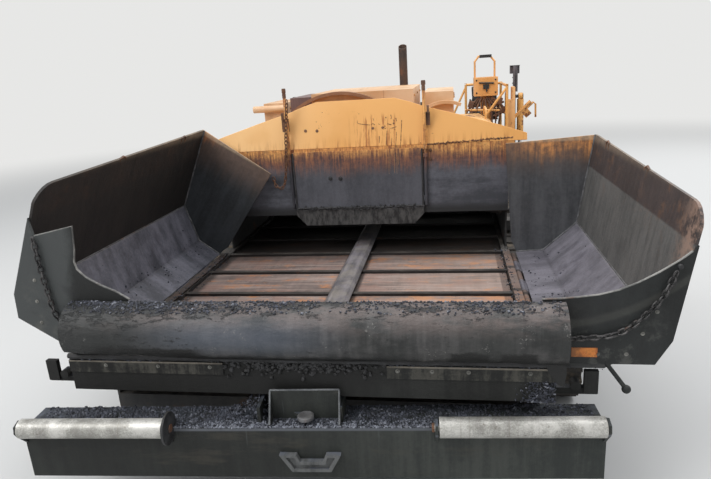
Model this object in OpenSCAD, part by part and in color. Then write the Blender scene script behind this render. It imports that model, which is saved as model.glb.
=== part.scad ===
// Tracked asphalt paver with an open front hopper and an extending rear screed.
// The front of the machine, where trucks tip into the hopper, faces -Y.
// Left and right are as seen by someone who stands in front and looks into the hopper.
// Z is zero on the ground, and every size is in millimetres and degrees.

/* [Hopper] */
// Height of the hopper floor above the ground
floor_z = 660; // [640:5:700]
// Plane of the wings' front plates
hopper_front_y = -2990; // [-3020:5:-2960]
// Front face of the wings' rear plates
hopper_rear_y = -1190; // [-1220:5:-1185]
// Distance from the centre line to each wing's hinge pin
hinge_x = 1075; // [1065:5:1100]
// Radius of the hinge pins
hinge_pin_r = 12; // [9:1:14]
// Number of knuckles along each wing hinge
hinge_knuckles = 9; // [5:2:13]

/* [Wings] */
// How far the left wing stands raised
wing_left_angle = 32.3; // [0:0.1:55]
// How far the right wing stands raised
wing_right_angle = 0; // [0:0.1:55]
// Thickness of the wing plates
wing_t = 12; // [8:1:16]
// Width of the flat wing floor, from the hinge
wing_floor_w = 211; // [190:1:230]
// Outward reach of the sloped wing floor
wing_ridge_u = 423; // [410:1:440]
// Height of the sloped wing floor at its outer end
wing_ridge_h = 203; // [180:1:220]
// Outward reach of the wing wall where it bends
wing_bend_u = 483; // [470:1:500]
// Height of the wing wall where it bends
wing_bend_h = 590; // [560:1:620]
// Outward reach of the wing wall at its rear top
wing_top_u = 516; // [506:1:530]
// Height of the wing wall at its rear top
wing_top_h = 792; // [760:1:810]
// Height of the wing wall at its front
wing_front_h = 737; // [715:1:750]
// Radius of the wing wall's upper front corner
wing_corner_r = 130; // [90:1:160]

/* [Flow gate] */
// Half of the gate's width
gate_half_w = 468; // [440:1:490]
// Height of the gate's lower lip
gate_lip_z = 864; // [850:1:880]
// Height of the crease where the dark wall meets the coloured plate
crease_z = 1424; // [1400:1:1440]

/* [Conveyors] */
// Distance between two slats along the chain
slat_pitch = 397; // [380:1:410]
// Width of one slat along the chain
slat_w = 34; // [28:1:50]
// Height of one slat
slat_h = 14; // [12:1:20]
// Radius of the chain's path at the end wheels
chain_r = 95; // [90:1:98]
// Half of the centre divider's width
divider_half_w = 72; // [66:1:80]

/* [Tracks] */
// Distance from the centre line to the middle of each track
track_x = 1220; // [1215:1:1230]
// Width of the track shoes
track_w = 290; // [260:1:290]
// Length of one track shoe
shoe_pitch = 171; // [160:1:190]
// Height of the rubber pad on each shoe
shoe_pad_h = 34; // [24:1:40]
// Radius of the front wheel inside the track
idler_r = 205; // [190:1:215]
// Pitch radius of the drive sprocket inside the track
sprocket_r = 262; // [240:1:270]

/* [Push beam] */
// Half of the push beam's width
beam_half_w = 1250; // [1200:5:1260]
// How far the push beam stands turned on its pin
beam_turn = 3.85; // [-4.5:0.05:4.5]
// Underside of the push beam
beam_bottom_z = 272; // [260:1:300]
// Top of the push beam
beam_top_z = 516; // [505:1:530]
// Radius of the push rollers
push_roller_r = 42; // [36:1:46]
// Length of each push roller
push_roller_len = 650; // [600:5:655]

/* [Tractor body] */
// Shoulder height of the engine cover
cover_z = 1455; // [1440:5:1500]
// Height of the raised middle of the engine cover
cover_crown_z = 1789; // [1740:1:1800]
// Height of the exhaust pipe's mouth
exhaust_top_z = 2170; // [2100:5:2200]
// Height of the operator's deck
deck_z = 1130; // [1110:5:1150]

/* [Augers] */
// Radius of the auger flights
auger_r = 185; // [160:1:195]
// Distance that one turn of a flight advances
auger_pitch = 350; // [300:5:380]
// Distance from the centre line to an auger's outer end
auger_reach = 1380; // [1300:5:1385]

/* [Screed] */
// Half of the main screed's width
screed_half_w = 1220; // [1180:5:1230]
// Height of the screed's sole above the ground as parked
screed_sole_z = 120; // [90:5:150]
// Distance from the centre line to each end gate's outer face
end_gate_x = 1603; // [1590:1:1650]
// Height of the tow arms' pivot above the ground
tow_pin_z = 660; // [645:5:675]

/* [Hidden] */

// Number of sides that a round outline is drawn with
$fn = 48;
// Clearance between pieces that move past each other
run_gap = 6;
// Clearance of a pin in its bore
pin_gap = 0.05;

LEFT = -1;
RIGHT = 1;

// Colours
yellow = [0.80, 0.58, 0.22];
charcoal = [0.20, 0.21, 0.23];
slate = [0.33, 0.35, 0.38];
rust = [0.50, 0.36, 0.28];
steel = [0.62, 0.62, 0.60];
black = [0.10, 0.10, 0.11];

// Box between two heights, two widths and two lengths
module slab(x0, x1, y0, y1, z0, z1) {
    translate([x0, y0, z0]) cube([x1 - x0, y1 - y0, z1 - z0]);
}

// Round bars along each axis
module bar_x(x0, x1, y, z, r) {
    translate([x0, y, z]) rotate([0, 90, 0]) cylinder(r = r, h = x1 - x0);
}
module bar_y(y0, y1, x, z, r) {
    translate([x, y1, z]) rotate([90, 0, 0]) cylinder(r = r, h = y1 - y0);
}
module bar_z(z0, z1, x, y, r) {
    translate([x, y, z0]) cylinder(r = r, h = z1 - z0);
}

// Round bar between any two points
module bar(a, b, r) {
    d = b - a;
    translate(a) rotate([0, acos(d[2] / norm(d)), atan2(d[1], d[0])]) cylinder(r = r, h = norm(d));
}

// Outline given as [y, z] points, drawn from x0 to x1
module side_plate(points, x0, x1) {
    translate([x0, 0, 0]) rotate([90, 0, 90]) linear_extrude(x1 - x0) polygon(points);
}

// Outline given as [x, z] points, drawn from y0 to y1
module cross_plate(points, y0, y1) {
    translate([0, y1, 0]) rotate([90, 0, 0]) linear_extrude(y1 - y0) polygon(points);
}

// Puts a right-hand piece on its own side
module on_side(side) {
    mirror([side == LEFT ? 1 : 0, 0, 0]) children();
}

// A bent plate: the line of its inner face, thickened to the left of its direction
function left_normal(a, b) = let (d = (b - a) / norm(b - a)) [-d[1], d[0]];
function corner_offset(line, i, t) =
    let (
        before = i == 0 ? left_normal(line[0], line[1]) : left_normal(line[i - 1], line[i]),
        after = i == len(line) - 1 ? before : left_normal(line[i], line[i + 1])
    )
    line[i] + (before + after) * t / (1 + before * after);
function bent_plate(line, t) =
    concat(line, [for (i = [len(line) - 1:-1:0]) corner_offset(line, i, t)]);

// Points of an arc, from one angle to another
function arc(centre, r, from, to, steps) =
    [for (i = [0:steps]) let (a = from + (to - from) * i / steps) centre + r * [cos(a), sin(a)]];

// Outline of a belt round a small front wheel and a larger rear wheel, with their lowest
// points at the same height. Each wheel is [y, z, radius].
function belt_tilt(front, rear) = let (d = [rear[0] - front[0], rear[1] - front[1]])
    asin((rear[2] - front[2]) / norm(d));
function belt(front, rear, grow, steps) =
    let (
        line = atan2(rear[1] - front[1], rear[0] - front[0]),
        tilt = belt_tilt(front, rear)
    )
    concat(
        arc([front[0], front[1]], front[2] + grow, line + 90 + tilt, line + 270 - tilt, steps),
        arc([rear[0], rear[1]], rear[2] + grow, line - 90 - tilt, line + 90 + tilt, steps)
    );

// Length of the belt's path, and the point and heading at a distance along it. The path
// starts on top of the front wheel and runs back along the top.
function belt_length(front, rear) =
    let (
        d = norm([rear[0] - front[0], rear[1] - front[1]]),
        tilt = belt_tilt(front, rear)
    )
    2 * d * cos(tilt) + front[2] * (180 - 2 * tilt) * PI / 180
        + rear[2] * (180 + 2 * tilt) * PI / 180;
function belt_point(front, rear, distance) =
    let (
        c0 = [front[0], front[1]],
        c1 = [rear[0], rear[1]],
        line = atan2(c1[1] - c0[1], c1[0] - c0[0]),
        tilt = belt_tilt(front, rear),
        run = norm(c1 - c0) * cos(tilt),
        rear_turn = 180 + 2 * tilt,
        front_turn = 180 - 2 * tilt,
        rear_arc = rear[2] * rear_turn * PI / 180,
        top_from = c0 + front[2] * [cos(line + 90 + tilt), sin(line + 90 + tilt)],
        top_way = [cos(line + tilt), sin(line + tilt)],
        low_from = c1 + rear[2] * [cos(line - 90 - tilt), sin(line - 90 - tilt)],
        low_way = -[cos(line - tilt), sin(line - tilt)],
        s1 = distance - run,
        s2 = s1 - rear_arc,
        s3 = s2 - run,
        a1 = line + 90 + tilt - s1 / rear[2] * 180 / PI,
        a3 = line - 90 - tilt - s3 / front[2] * 180 / PI
    )
    distance <= run ? [top_from + distance * top_way, line + tilt]
        : s1 <= rear_arc ? [c1 + rear[2] * [cos(a1), sin(a1)], a1 - 90]
        : s2 <= run ? [low_from + s2 * low_way, line - tilt - 180]
        : [c0 + front[2] * [cos(a3), sin(a3)], a3 - 90];

// Hopper and frame heights
tie_y = [-2480, 1620];
tie_z = 420;
tie_r = 25;
axle_y = [-1150, 500];
axle_z = 330;
tow_pin_r = 25;
hinge_z = floor_z - 18;
plate_top_z = floor_z - 12;
deck_plate_t = 8;
frame_x0 = hinge_x - 35;
frame_x1 = hinge_x - 23;
frame_bottom_z = 330;
tunnel_top_z = 940;
tunnel_half_w = frame_x0;
frame_front_y = -2770;
floor_front_y = -2860;
frame_rear_y = 1700;
bulkhead_y = -1104;
bulkhead_t = 10;

// Wing section in the wing's own frame: u runs outwards and w upwards from the hinge pin
lift = floor_z - hinge_z;
wing_line = [
    [hinge_pin_r + 12, lift], [wing_floor_w, lift + 14], [wing_ridge_u, lift + wing_ridge_h],
    [wing_bend_u, lift + wing_bend_h], [wing_top_u, lift + wing_top_h]
];
wing_outline = bent_plate(wing_line, -wing_t);
wing_skin = [for (i = [len(wing_line) - 1:-1:0]) corner_offset(wing_line, i, -wing_t)];
knuckle_r = hinge_pin_r + 6;
wing_floor_front_y = hopper_front_y + 170;
rear_inner_u = -52;
rear_inner_w = lift + 757;

// Places a wing piece, drawn in the wing's own frame for the right side, at its angle
module at_wing(side, angle) {
    on_side(side) translate([hinge_x, 0, hinge_z]) rotate([0, -angle, 0]) children();
}
function wing_angle(side) = side == LEFT ? wing_left_angle : wing_right_angle;

// Conveyor path: front wheel and rear wheel, each [y, z, radius]
conveyor_z = plate_top_z + slat_h / 2 + 2 - chain_r;
conveyor_front = [-2740, conveyor_z, chain_r];
conveyor_rear = [1570, conveyor_z, chain_r];
chain_w = 26;
chain_half_h = 12;
inner_chain_x = divider_half_w - 34;
outer_chain_x = frame_x0 - 24;
slat_x0 = inner_chain_x - 6;
slat_x1 = outer_chain_x + 6;
slats = round(belt_length(conveyor_front, conveyor_rear) / slat_pitch);
// One slat stands at this length, and the others follow from it
slat_mark_y = -1175;
slat_start = slat_mark_y - conveyor_front[0] - 3 * slat_pitch;
chain_pitch = 165;
wheel_bite = 5;

// Track path
track_front = [-1900, idler_r + 65, idler_r];
track_rear = [1180, sprocket_r + 65, sprocket_r];
track_link_h = 65 - shoe_pad_h;

// Push beam places
beam_face_y = -3147;
beam_depth = 172;
beam_reach = 150;
beam_back_y = beam_face_y + beam_depth;
beam_pin_y = beam_back_y + beam_reach;
beam_pin_r = 32;
roller_inner_x = 582;

// Screed and tow arm places
tow_pin_y = -420;
tow_arm_x0 = 1395;
tow_arm_x1 = 1435;
auger_y = 1940;
auger_z = 560;
screed_front_y = auger_y + 270;
screed_back_y = screed_front_y + 560;
screed_top_z = screed_sole_z + 420;
extender_back_y = screed_back_y + 500;
rail_r = 26;
rail_y = screed_back_y + 45;
rail_z = screed_top_z + 5;
lift_x = (tow_arm_x0 + tow_arm_x1) / 2;
lift_y = 1600;
lift_base_z = 1560;
lift_eye_z = 800;
lift_pin_r = 18;
lift_rod_r = 20;
lift_eye_play = 15;
lift_barrel_len = 415;
wing_rod_r = 16;

// The frame: two long side plates, cross members, tunnel roof and rear wall
module main_frame() {
    color(charcoal) {
        for (side = [LEFT, RIGHT]) on_side(side) frame_side();
        slab(-frame_x0, frame_x0, frame_front_y, frame_front_y + 140, frame_bottom_z, 425);
        for (y = [-1250, 300]) {
            slab(-frame_x0, frame_x0, y, y + 120, frame_bottom_z, 430);
        }
        // Bearers under the hopper floor, between the conveyors' two runs
        for (y = [-2560:600:1040]) {
            slab(-frame_x0, frame_x0, y, y + 60, plate_top_z - deck_plate_t - 30,
                plate_top_z - deck_plate_t);
        }
        slab(-frame_x0, frame_x0, cover_y0, frame_rear_y, tunnel_top_z, tunnel_top_z + 12);
        difference() {
            slab(-frame_x1, frame_x1, frame_rear_y, frame_rear_y + 14, frame_bottom_z, 1105);
            for (side = [LEFT, RIGHT]) on_side(side) {
                slab(divider_half_w, frame_x0 - 10, frame_rear_y - 1, frame_rear_y + 15,
                    frame_bottom_z + 60, tunnel_top_z - 20);
            }
        }
        for (z = [frame_bottom_z - 25, 425]) {
            slab(-90, 90, beam_pin_y - 50, frame_front_y + 60, z, z + 25);
        }
    }
    color(steel) bar_z(frame_bottom_z - 35, 455, 0, beam_pin_y, beam_pin_r);
}

module frame_side() {
    difference() {
        side_plate([
            [frame_front_y, 560], [frame_front_y, frame_bottom_z], [frame_rear_y, frame_bottom_z],
            [frame_rear_y, 1105], [cover_y0, 1105], [cover_y0, plate_top_z - deck_plate_t],
            [floor_front_y, plate_top_z - deck_plate_t]
        ], frame_x0, frame_x1);
        // Holes for lashing the machine down
        for (y = tie_y) bar_x(frame_x0 - 1, frame_x1 + 1, y, tie_z, tie_r);
    }
    // Axle tubes that carry the track frame
    for (y = axle_y) bar_x(frame_x1, frame_x1 + 22, y, axle_z, 55);
    // Bracket for the tow arm's pivot
    slab(frame_x1, tow_arm_x0 - 8, tow_pin_y - 60, tow_pin_y + 60, tow_pin_z - 40, tow_pin_z + 40);
    bar_x(tow_arm_x0 - 8, tow_arm_x1 + 20, tow_pin_y, tow_pin_z, tow_pin_r);
}

// The plates that the slats drag asphalt over, with the body's share of the hinge knuckles
module hopper_floor() {
    color(rust) {
        difference() {
            union() {
                slab(-frame_x1, frame_x1, floor_front_y, cover_y0,
                    plate_top_z - deck_plate_t, plate_top_z);
                slab(-frame_x0, frame_x0, cover_y0, frame_rear_y - 160,
                    plate_top_z - deck_plate_t, plate_top_z);
            }
            for (x = [inner_chain_x, outer_chain_x], side = [LEFT, RIGHT]) {
                slab(side * x - 18, side * x + 18, floor_front_y - 1, frame_rear_y,
                    plate_top_z - deck_plate_t - 1, plate_top_z + 1);
            }
        }
        for (side = [LEFT, RIGHT]) on_side(side) {
            slab(frame_x1 - 46, frame_x1, floor_front_y, hopper_rear_y - 10, plate_top_z + 28, plate_top_z + 34);
            slab(frame_x1 - 10, frame_x1, floor_front_y, hopper_rear_y - 10, plate_top_z, plate_top_z + 28);
            for (i = [0:2:hinge_knuckles - 1]) body_knuckle(i);
            bar_y(knuckle_y(0), knuckle_y(hinge_knuckles), hinge_x, hinge_z, hinge_pin_r);
        }
    }
}

knuckle_len = (hopper_rear_y - wing_floor_front_y - 30) / hinge_knuckles;
function knuckle_y(i) = wing_floor_front_y + 15 + i * knuckle_len;

module body_knuckle(i) {
    y0 = knuckle_y(i) + 1;
    y1 = knuckle_y(i + 1) - 1;
    translate([hinge_x, 0, hinge_z]) {
        bar_y(y0, y1, 0, 0, knuckle_r);
        slab(frame_x1 - hinge_x, 0, y0, y1, -8, 6);
    }
}

// A slat conveyor: two chains round two end shafts, with slats bolted across them
module conveyor(side) {
    on_side(side) {
        color(slate) {
            for (x = [inner_chain_x, outer_chain_x]) chain_loop(x);
            for (i = [0:slats - 1]) slat(slat_start + i * slat_pitch);
        }
        color(steel) for (wheel = [conveyor_front, conveyor_rear])
            for (x = [inner_chain_x, outer_chain_x])
                translate([x - 9, wheel[0], wheel[1]]) rotate([0, 90, 0])
                    cylinder(r = chain_r - chain_half_h + wheel_bite, h = 18, $fn = 12);
        color(steel) translate([slat_x0, conveyor_rear[0], conveyor_rear[1]]) rotate([0, 90, 0])
            cylinder(r = 32, h = slat_x1 - slat_x0, $fn = 12);
    }
}

module chain_loop(x) {
    count = round(belt_length(conveyor_front, conveyor_rear) / chain_pitch);
    step = belt_length(conveyor_front, conveyor_rear) / count;
    outer = [for (i = [0:count - 1], end = [0.18, 0.82])
        let (p = belt_point(conveyor_front, conveyor_rear, (i + end) * step))
        p[0] + (end < 0.5 ? chain_half_h : chain_half_h - 5) * [-sin(p[1]), cos(p[1])]];
    inner = belt(conveyor_front, conveyor_rear, -chain_half_h, 8);
    translate([x - chain_w / 2, 0, 0]) rotate([90, 0, 90]) linear_extrude(chain_w)
        difference() {
            polygon(outer);
            polygon(inner);
        }
}

module slat(distance) {
    path = belt_length(conveyor_front, conveyor_rear);
    p = belt_point(conveyor_front, conveyor_rear, distance % path);
    translate([0, p[0][0], p[0][1]]) rotate([p[1], 0, 0])
        slab(slat_x0, slat_x1, -slat_w / 2, slat_w / 2, -slat_h / 2, slat_h / 2);
}

// Plain cover along the middle, over the two inner chains
module conveyor_divider() {
    top = plate_top_z + 44;
    color(slate) slab(-6, 6, floor_front_y, 1480, plate_top_z, top - 4);
    color(slate) cross_plate([
        [-divider_half_w, plate_top_z + 26], [-divider_half_w + 26, top],
        [divider_half_w - 26, top], [divider_half_w, plate_top_z + 26],
        [divider_half_w - 8, plate_top_z + 26], [divider_half_w - 30, top - 8],
        [-divider_half_w + 30, top - 8], [-divider_half_w + 8, plate_top_z + 26]
    ], floor_front_y, 1480);
}

// The gate's lift rods run in guides on the bulkhead
gate_y = bulkhead_y - 16;
gate_rod_x = gate_half_w + 18;
gate_rod_r = 11;
gate_rod_top_z = 1828;
module gate_guide(z) {
    difference() {
        slab(gate_rod_x - 13, gate_rod_x + 15, gate_y - 15, bulkhead_y, z, z + 24);
        bar_z(z - 1, z + 25, gate_rod_x, gate_y, gate_rod_r + 0.1);
    }
}

// Wall between hopper and engine, with the window that the gate closes
module bulkhead() {
    half = hinge_x - 25;
    color(charcoal) difference() {
        slab(-half, half, bulkhead_y, bulkhead_y + bulkhead_t, tunnel_top_z, crease_z);
        slab(-gate_half_w + 60, gate_half_w - 60, bulkhead_y - 1, bulkhead_y + bulkhead_t + 1,
            tunnel_top_z - 1, tunnel_top_z + 150);
    }
    color(charcoal) for (side = [LEFT, RIGHT]) on_side(side) {
        for (z = [1340, crease_z - 26]) gate_guide(z);
        slab(430, 442, bulkhead_y + bulkhead_t, cover_y0, tunnel_top_z + 20, crease_z);
        // Pin at the foot of the wing's cylinder
        bar_y(bulkhead_y + bulkhead_t, cover_y0, wing_base_x, wing_base_z, wing_pin_r);
    }
}

hood_tilt = 12;
module bulkhead_hood() {
    // Half of its outline: distance from the centre line, height above the crease
    edge = [[1172, 48], [989, 112], [715, 196], [488, 259], [390, 296], [279, 329]];
    color(yellow) translate([0, bulkhead_y, crease_z + 8 * sin(hood_tilt)]) rotate([-hood_tilt, 0, 0])
        cross_plate(concat(
            [[-edge[0][0], 0]], [for (p = edge) [-p[0], p[1]]],
            [for (i = [len(edge) - 1:-1:0]) edge[i]], [[edge[0][0], 0]]
        ), 0, 8);
}

// Gate that meters asphalt into the tunnel, with its two lift rods
module flow_gate() {
    front = gate_y - 6;
    color(charcoal) {
        cross_plate([
            [-gate_half_w, tunnel_top_z], [-gate_half_w + 70, gate_lip_z],
            [gate_half_w - 70, gate_lip_z], [gate_half_w, tunnel_top_z],
            [gate_half_w, crease_z - 20], [-gate_half_w, crease_z - 20]
        ], front, front + 12);
        for (side = [LEFT, RIGHT]) on_side(side) {
            bar_z(tunnel_top_z + 60, gate_rod_top_z, gate_rod_x, gate_y, gate_rod_r);
            slab(gate_half_w - 4, gate_rod_x, front, front + 12,
                tunnel_top_z + 90, tunnel_top_z + 130);
        }
    }
}

// Wing floor and wall, one bent plate, with its share of the hinge knuckles
module wing_pan(side) {
    color(slate) at_wing(side, wing_angle(side)) {
        intersection() {
            cross_plate(wing_outline, hopper_front_y + wing_t, hopper_rear_y);
            side_plate([
                each [
                    [hopper_rear_y, -200], [wing_floor_front_y, -200],
                    [wing_floor_front_y, lift + wing_ridge_h - 30],
                    [hopper_front_y, lift + wing_ridge_h]
                ],
                each arc([hopper_front_y + wing_corner_r, lift + wing_front_h - wing_corner_r],
                    wing_corner_r, 180, 90, 6),
                [hopper_rear_y, lift + wing_top_h]
            ], 0, 800);
        }
        for (i = [1:2:hinge_knuckles - 1]) wing_knuckle(i);
    }
}

module wing_knuckle(i) {
    y0 = knuckle_y(i) + 1;
    y1 = knuckle_y(i + 1) - 1;
    difference() {
        union() {
            bar_y(y0, y1, 0, 0, knuckle_r);
            slab(0, knuckle_r + 14, y0, y1, -6, lift - wing_t);
            slab(hinge_pin_r + 12, knuckle_r + 14, y0, y1, -6, lift - wing_t / 2);
        }
        bar_y(y0 - 1, y1 + 1, 0, 0, hinge_pin_r + pin_gap);
    }
}

module wing_rear(side) {
    color(charcoal) at_wing(side, wing_angle(side)) {
        cross_plate(concat(
            [[rear_inner_u, rear_inner_w], [-8, lift + 82], [12, lift + 42], [hinge_pin_r + 12, lift + 4]],
            [for (i = [len(wing_skin) - 2:-1:0]) wing_skin[i]]
        ), hopper_rear_y, hopper_rear_y + wing_t);
        // Ring that the pin of the wing's cylinder pulls on
        difference() {
            bar_y(hopper_rear_y + wing_t, hopper_rear_y + wing_t + 28,
                wing_eye_u, wing_eye_w, wing_pin_r + wing_eye_play + 16);
            bar_y(hopper_rear_y + wing_t - 1, hopper_rear_y + wing_t + 29,
                wing_eye_u, wing_eye_w, wing_pin_r + wing_eye_play);
        }
    }
}

module wing_front(side) {
    y0 = hopper_front_y;
    y1 = hopper_front_y + wing_t;
    // Upper rim from the hinge outwards, [distance from the hinge, height above the floor]
    rim = side == LEFT
        ? [[-60, 484], [11, 484], [82, 473], [158, 470], [209, 483], [235, 510], [254, 564],
            [300, 660], [385, 576], [440, 524]]
        : [[-60, 375], [7, 377], [82, 384], [155, 394], [227, 413], [297, 445], [366, 485],
            [440, 536]];
    color(charcoal) at_wing(side, wing_angle(side)) {
        cross_plate(concat(
            [[55, lift + front_hem]], [for (p = rim) [p[0], lift + p[1]]],
            [
                [wing_bend_u - 4, lift + wing_bend_h - 22],
                [wing_bend_u + wing_t, lift + wing_bend_h],
                [wing_ridge_u + wing_t, lift + wing_ridge_h], [376, lift + front_hem]
            ]
        ), y0, y1);
        // Sloped strip that closes the gap to the wing floor
        side_plate([
            [y1, lift + front_hem], [wing_floor_front_y, lift - wing_t],
            [wing_floor_front_y, lift], [y1, lift + front_hem + 12]
        ], 60, 230);
        if (side == RIGHT) {
            // Latch bar that hangs from the lower edge
            bar([190, y0 + 7, lift + front_hem + 8], [278, y0 + 7, 2], 9);
            translate([278, y0 + 7, 2]) sphere(r = 18);
        }
    }
}
front_hem = 99;

// Wing cylinders behind the bulkhead. The ring on the wing is wide, because its centre
// swings on an arc while the rod moves in a line.
wing_eye_u = 365;
wing_eye_w = 233;
wing_eye_play = 32;
wing_pin_r = 18;
wing_cylinder_y = bulkhead_y + 55;
wing_base_x = 500;
wing_base_z = 1010;
function wing_eye(side) =
    let (a = wing_angle(side))
    [hinge_x + wing_eye_u * cos(a) - wing_eye_w * sin(a),
        hinge_z + wing_eye_u * sin(a) + wing_eye_w * cos(a)];
function wing_cylinder_angle(side) =
    let (p = wing_eye(side)) atan2(p[1] - wing_base_z, p[0] - wing_base_x);
function wing_cylinder_len(side) = norm(wing_eye(side) - [wing_base_x, wing_base_z]);
wing_barrel_len = 520;
wing_rod_len = 505;

module at_wing_cylinder(side) {
    on_side(side) translate([wing_base_x, wing_cylinder_y, wing_base_z])
        rotate([0, 90 - wing_cylinder_angle(side), 0]) children();
}

module cylinder_barrel(len, r, bore_r, eye_r, pin_r, eye_w) {
    difference() {
        union() {
            bar_z(eye_r - 6, len, 0, 0, r);
            bar_z(len - 26, len, 0, 0, r + 5);
            bar_y(-eye_w / 2, eye_w / 2, 0, 0, eye_r);
        }
        bar_y(-eye_w, eye_w, 0, 0, pin_r + pin_gap);
        bar_z(eye_r + 30, len + 1, 0, 0, bore_r + pin_gap);
    }
}

module wing_barrel(side) {
    color(yellow) at_wing_cylinder(side)
        cylinder_barrel(wing_barrel_len, 32, wing_rod_r, 32, wing_pin_r, 50);
}

// The rod carries the pin that reaches into the wing's ring
module wing_rod(side) {
    len = wing_cylinder_len(side);
    color(steel) at_wing_cylinder(side) {
        bar_z(len - wing_rod_len, len, 0, 0, wing_rod_r);
        bar_y(-22, 22, 0, len, 32);
        bar_y(hopper_rear_y + wing_t + 6 - wing_cylinder_y, 30, 0, len, wing_pin_r);
    }
}

// Rolled front apron
apron_r = 130;
apron_y = hopper_front_y - 8;
apron_z = floor_z + 240;
apron_t = 10;
nose_y = -3044;

// Its worn lower edge: distance along the apron, depth below the roll's middle
apron_hem = [
    [-1036, 66], [-930, 78], [-700, 74], [-560, 92], [-380, 112], [-120, 118], [60, 116],
    [220, 112], [330, 98], [560, 90], [760, 94], [880, 88], [990, 100], [1104, 108]
];
module apron() {
    x0 = apron_hem[0][0];
    x1 = apron_hem[len(apron_hem) - 1][0];
    color(charcoal) intersection() {
        difference() {
            bar_x(x0, x1, apron_y, apron_z, apron_r);
            bar_x(x0 - 1, x1 + 1, apron_y, apron_z, apron_r - apron_t);
        }
        slab(x0 - 1, x1 + 1, apron_y - 200, apron_y, apron_z - 200, apron_z + 200);
        cross_plate(concat(
            [[x0 - 2, apron_z + 200]], [for (p = apron_hem) [p[0], apron_z - p[1]]],
            [[x1 + 2, apron_z - 108], [x1 + 2, apron_z + 200]]
        ), apron_y - 200, apron_y + 1);
    }
    // Torn corner that hangs over the clamping strip
    color(charcoal) cross_plate([
        [1012, apron_z - 90], [1100, apron_z - 84], [1104, apron_z - 150], [1096, apron_z - 205],
        [1074, apron_z - 196], [1040, apron_z - 150]
    ], nose_y - 24, nose_y - 15);
}

module nose_panel() {
    half = hinge_x - 5;
    // The panel stops just under the apron's curve
    top = apron_z - sqrt(pow(apron_r, 2) - pow(apron_y - nose_y - 10, 2)) - 0.3;
    color(charcoal) {
        slab(-half, half, nose_y, nose_y + 10, 612, top);
        slab(-half, -330, nose_y - 8, nose_y, 706, 764);
        slab(390, half, nose_y - 8, nose_y, 706, 764);
        // Ribs that hold the apron's curve
        for (x = [-1020, -520, -60, 400, 900]) side_plate(concat(
            arc([apron_y, apron_z], apron_r - apron_t - 0.2, 100, 232, 8),
            [
                [nose_y + 30, apron_z - 100], [nose_y + 30, apron_z - 125], [nose_y + 9, top - 3],
                [nose_y + 9, 700], [nose_y + 48, 700], [apron_y - 4, apron_z - 60]
            ]
        ), x, x + 10);
        // Lip of the hopper floor and the plate that joins it to the frame
        slab(-half, half, nose_y + 10, floor_front_y - 10, plate_top_z - 12, plate_top_z);
        slab(-frame_x0, frame_x0, floor_front_y - 10, floor_front_y, 545, plate_top_z);
        for (side = [LEFT, RIGHT]) on_side(side) {
            slab(half - 20, half + 175, -2975, -2945, 612, 640);
            // Front hinge block with the end of its pin
            slab(half + 120, half + 175, -2985, -2962, 620, 722);
            bar_y(-2992, -2950, half + 86, 656, 20);
        }
    }
}

// Push beam on its pin, with its tongue, roller brackets and the upright bracket on top
module at_beam() {
    translate([0, beam_pin_y, 0]) rotate([0, 0, beam_turn]) translate([0, -beam_pin_y, 0]) children();
}

module push_beam() {
    color(charcoal) at_beam() {
        difference() {
            slab(-beam_half_w, beam_half_w, beam_face_y, beam_back_y, beam_bottom_z, beam_top_z);
            side_plate([
                [beam_face_y + 16, beam_bottom_z + 16], [beam_face_y + 16, beam_top_z - 80],
                [beam_face_y + 70, beam_top_z - 14], [beam_back_y + 1, beam_top_z - 14],
                [beam_back_y + 1, beam_bottom_z + 16]
            ], -beam_half_w + 16, beam_half_w - 16);
            // Hollows that the rollers sit in
            for (side = [LEFT, RIGHT]) on_side(side)
                bar_x(roller_inner_x - roller_side_gap, beam_half_w + 1,
                    roller_y, roller_z, push_roller_r + run_gap);
        }
        difference() {
            union() {
                slab(-46, 46, beam_face_y + 16, beam_pin_y, 336, 418);
                bar_z(336, 418, 0, beam_pin_y, 46);
            }
            bar_z(335, 419, 0, beam_pin_y, beam_pin_r + pin_gap);
        }
        for (x = [-190, 165]) slab(x, x + 14, beam_face_y + 35, beam_back_y, beam_top_z - 1, beam_top_z + 78);
        slab(-190, 179, beam_back_y - 14, beam_back_y, beam_top_z - 1, beam_top_z + 78);
        bar_z(beam_top_z - 1, beam_top_z + 34, 0, beam_face_y + 92, 30);
        bar_z(beam_top_z + 20, beam_top_z + 36, 0, beam_face_y + 92, 44);
        // Towing bracket on the face
        difference() {
            cross_plate([
                [-98, 400], [-24, 400], [-10, 368], [90, 368], [104, 400], [168, 400], [122, 318],
                [-46, 318]
            ], beam_face_y - 26, beam_face_y + 2);
            cross_plate([
                [-70, 388], [-32, 388], [-18, 354], [98, 354], [110, 388], [142, 388], [112, 332],
                [-36, 332]
            ], beam_face_y - 27, beam_face_y - 12);
        }
        for (side = [LEFT, RIGHT]) on_side(side) roller_brackets();
    }
}

push_shaft_r = 15;
roller_side_gap = 5;
roller_y = beam_face_y - 30;
roller_z = beam_top_z + 22;

module roller_brackets() {
    for (x = [roller_inner_x - 12 - roller_side_gap,
            roller_inner_x + push_roller_len + roller_side_gap]) {
        difference() {
            side_plate([
                [beam_face_y + 60, beam_top_z - 12], [beam_face_y + 2, beam_top_z - 70],
                [roller_y - 20, roller_z - 30], [roller_y - 32, roller_z - 8],
                [roller_y - 26, roller_z + 22], [roller_y + 10, roller_z + 34],
                [beam_face_y + 60, beam_top_z + 10]
            ], x, x + 12);
            bar_x(x - 1, x + 13, roller_y, roller_z, push_shaft_r + pin_gap);
        }
    }
}

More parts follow.
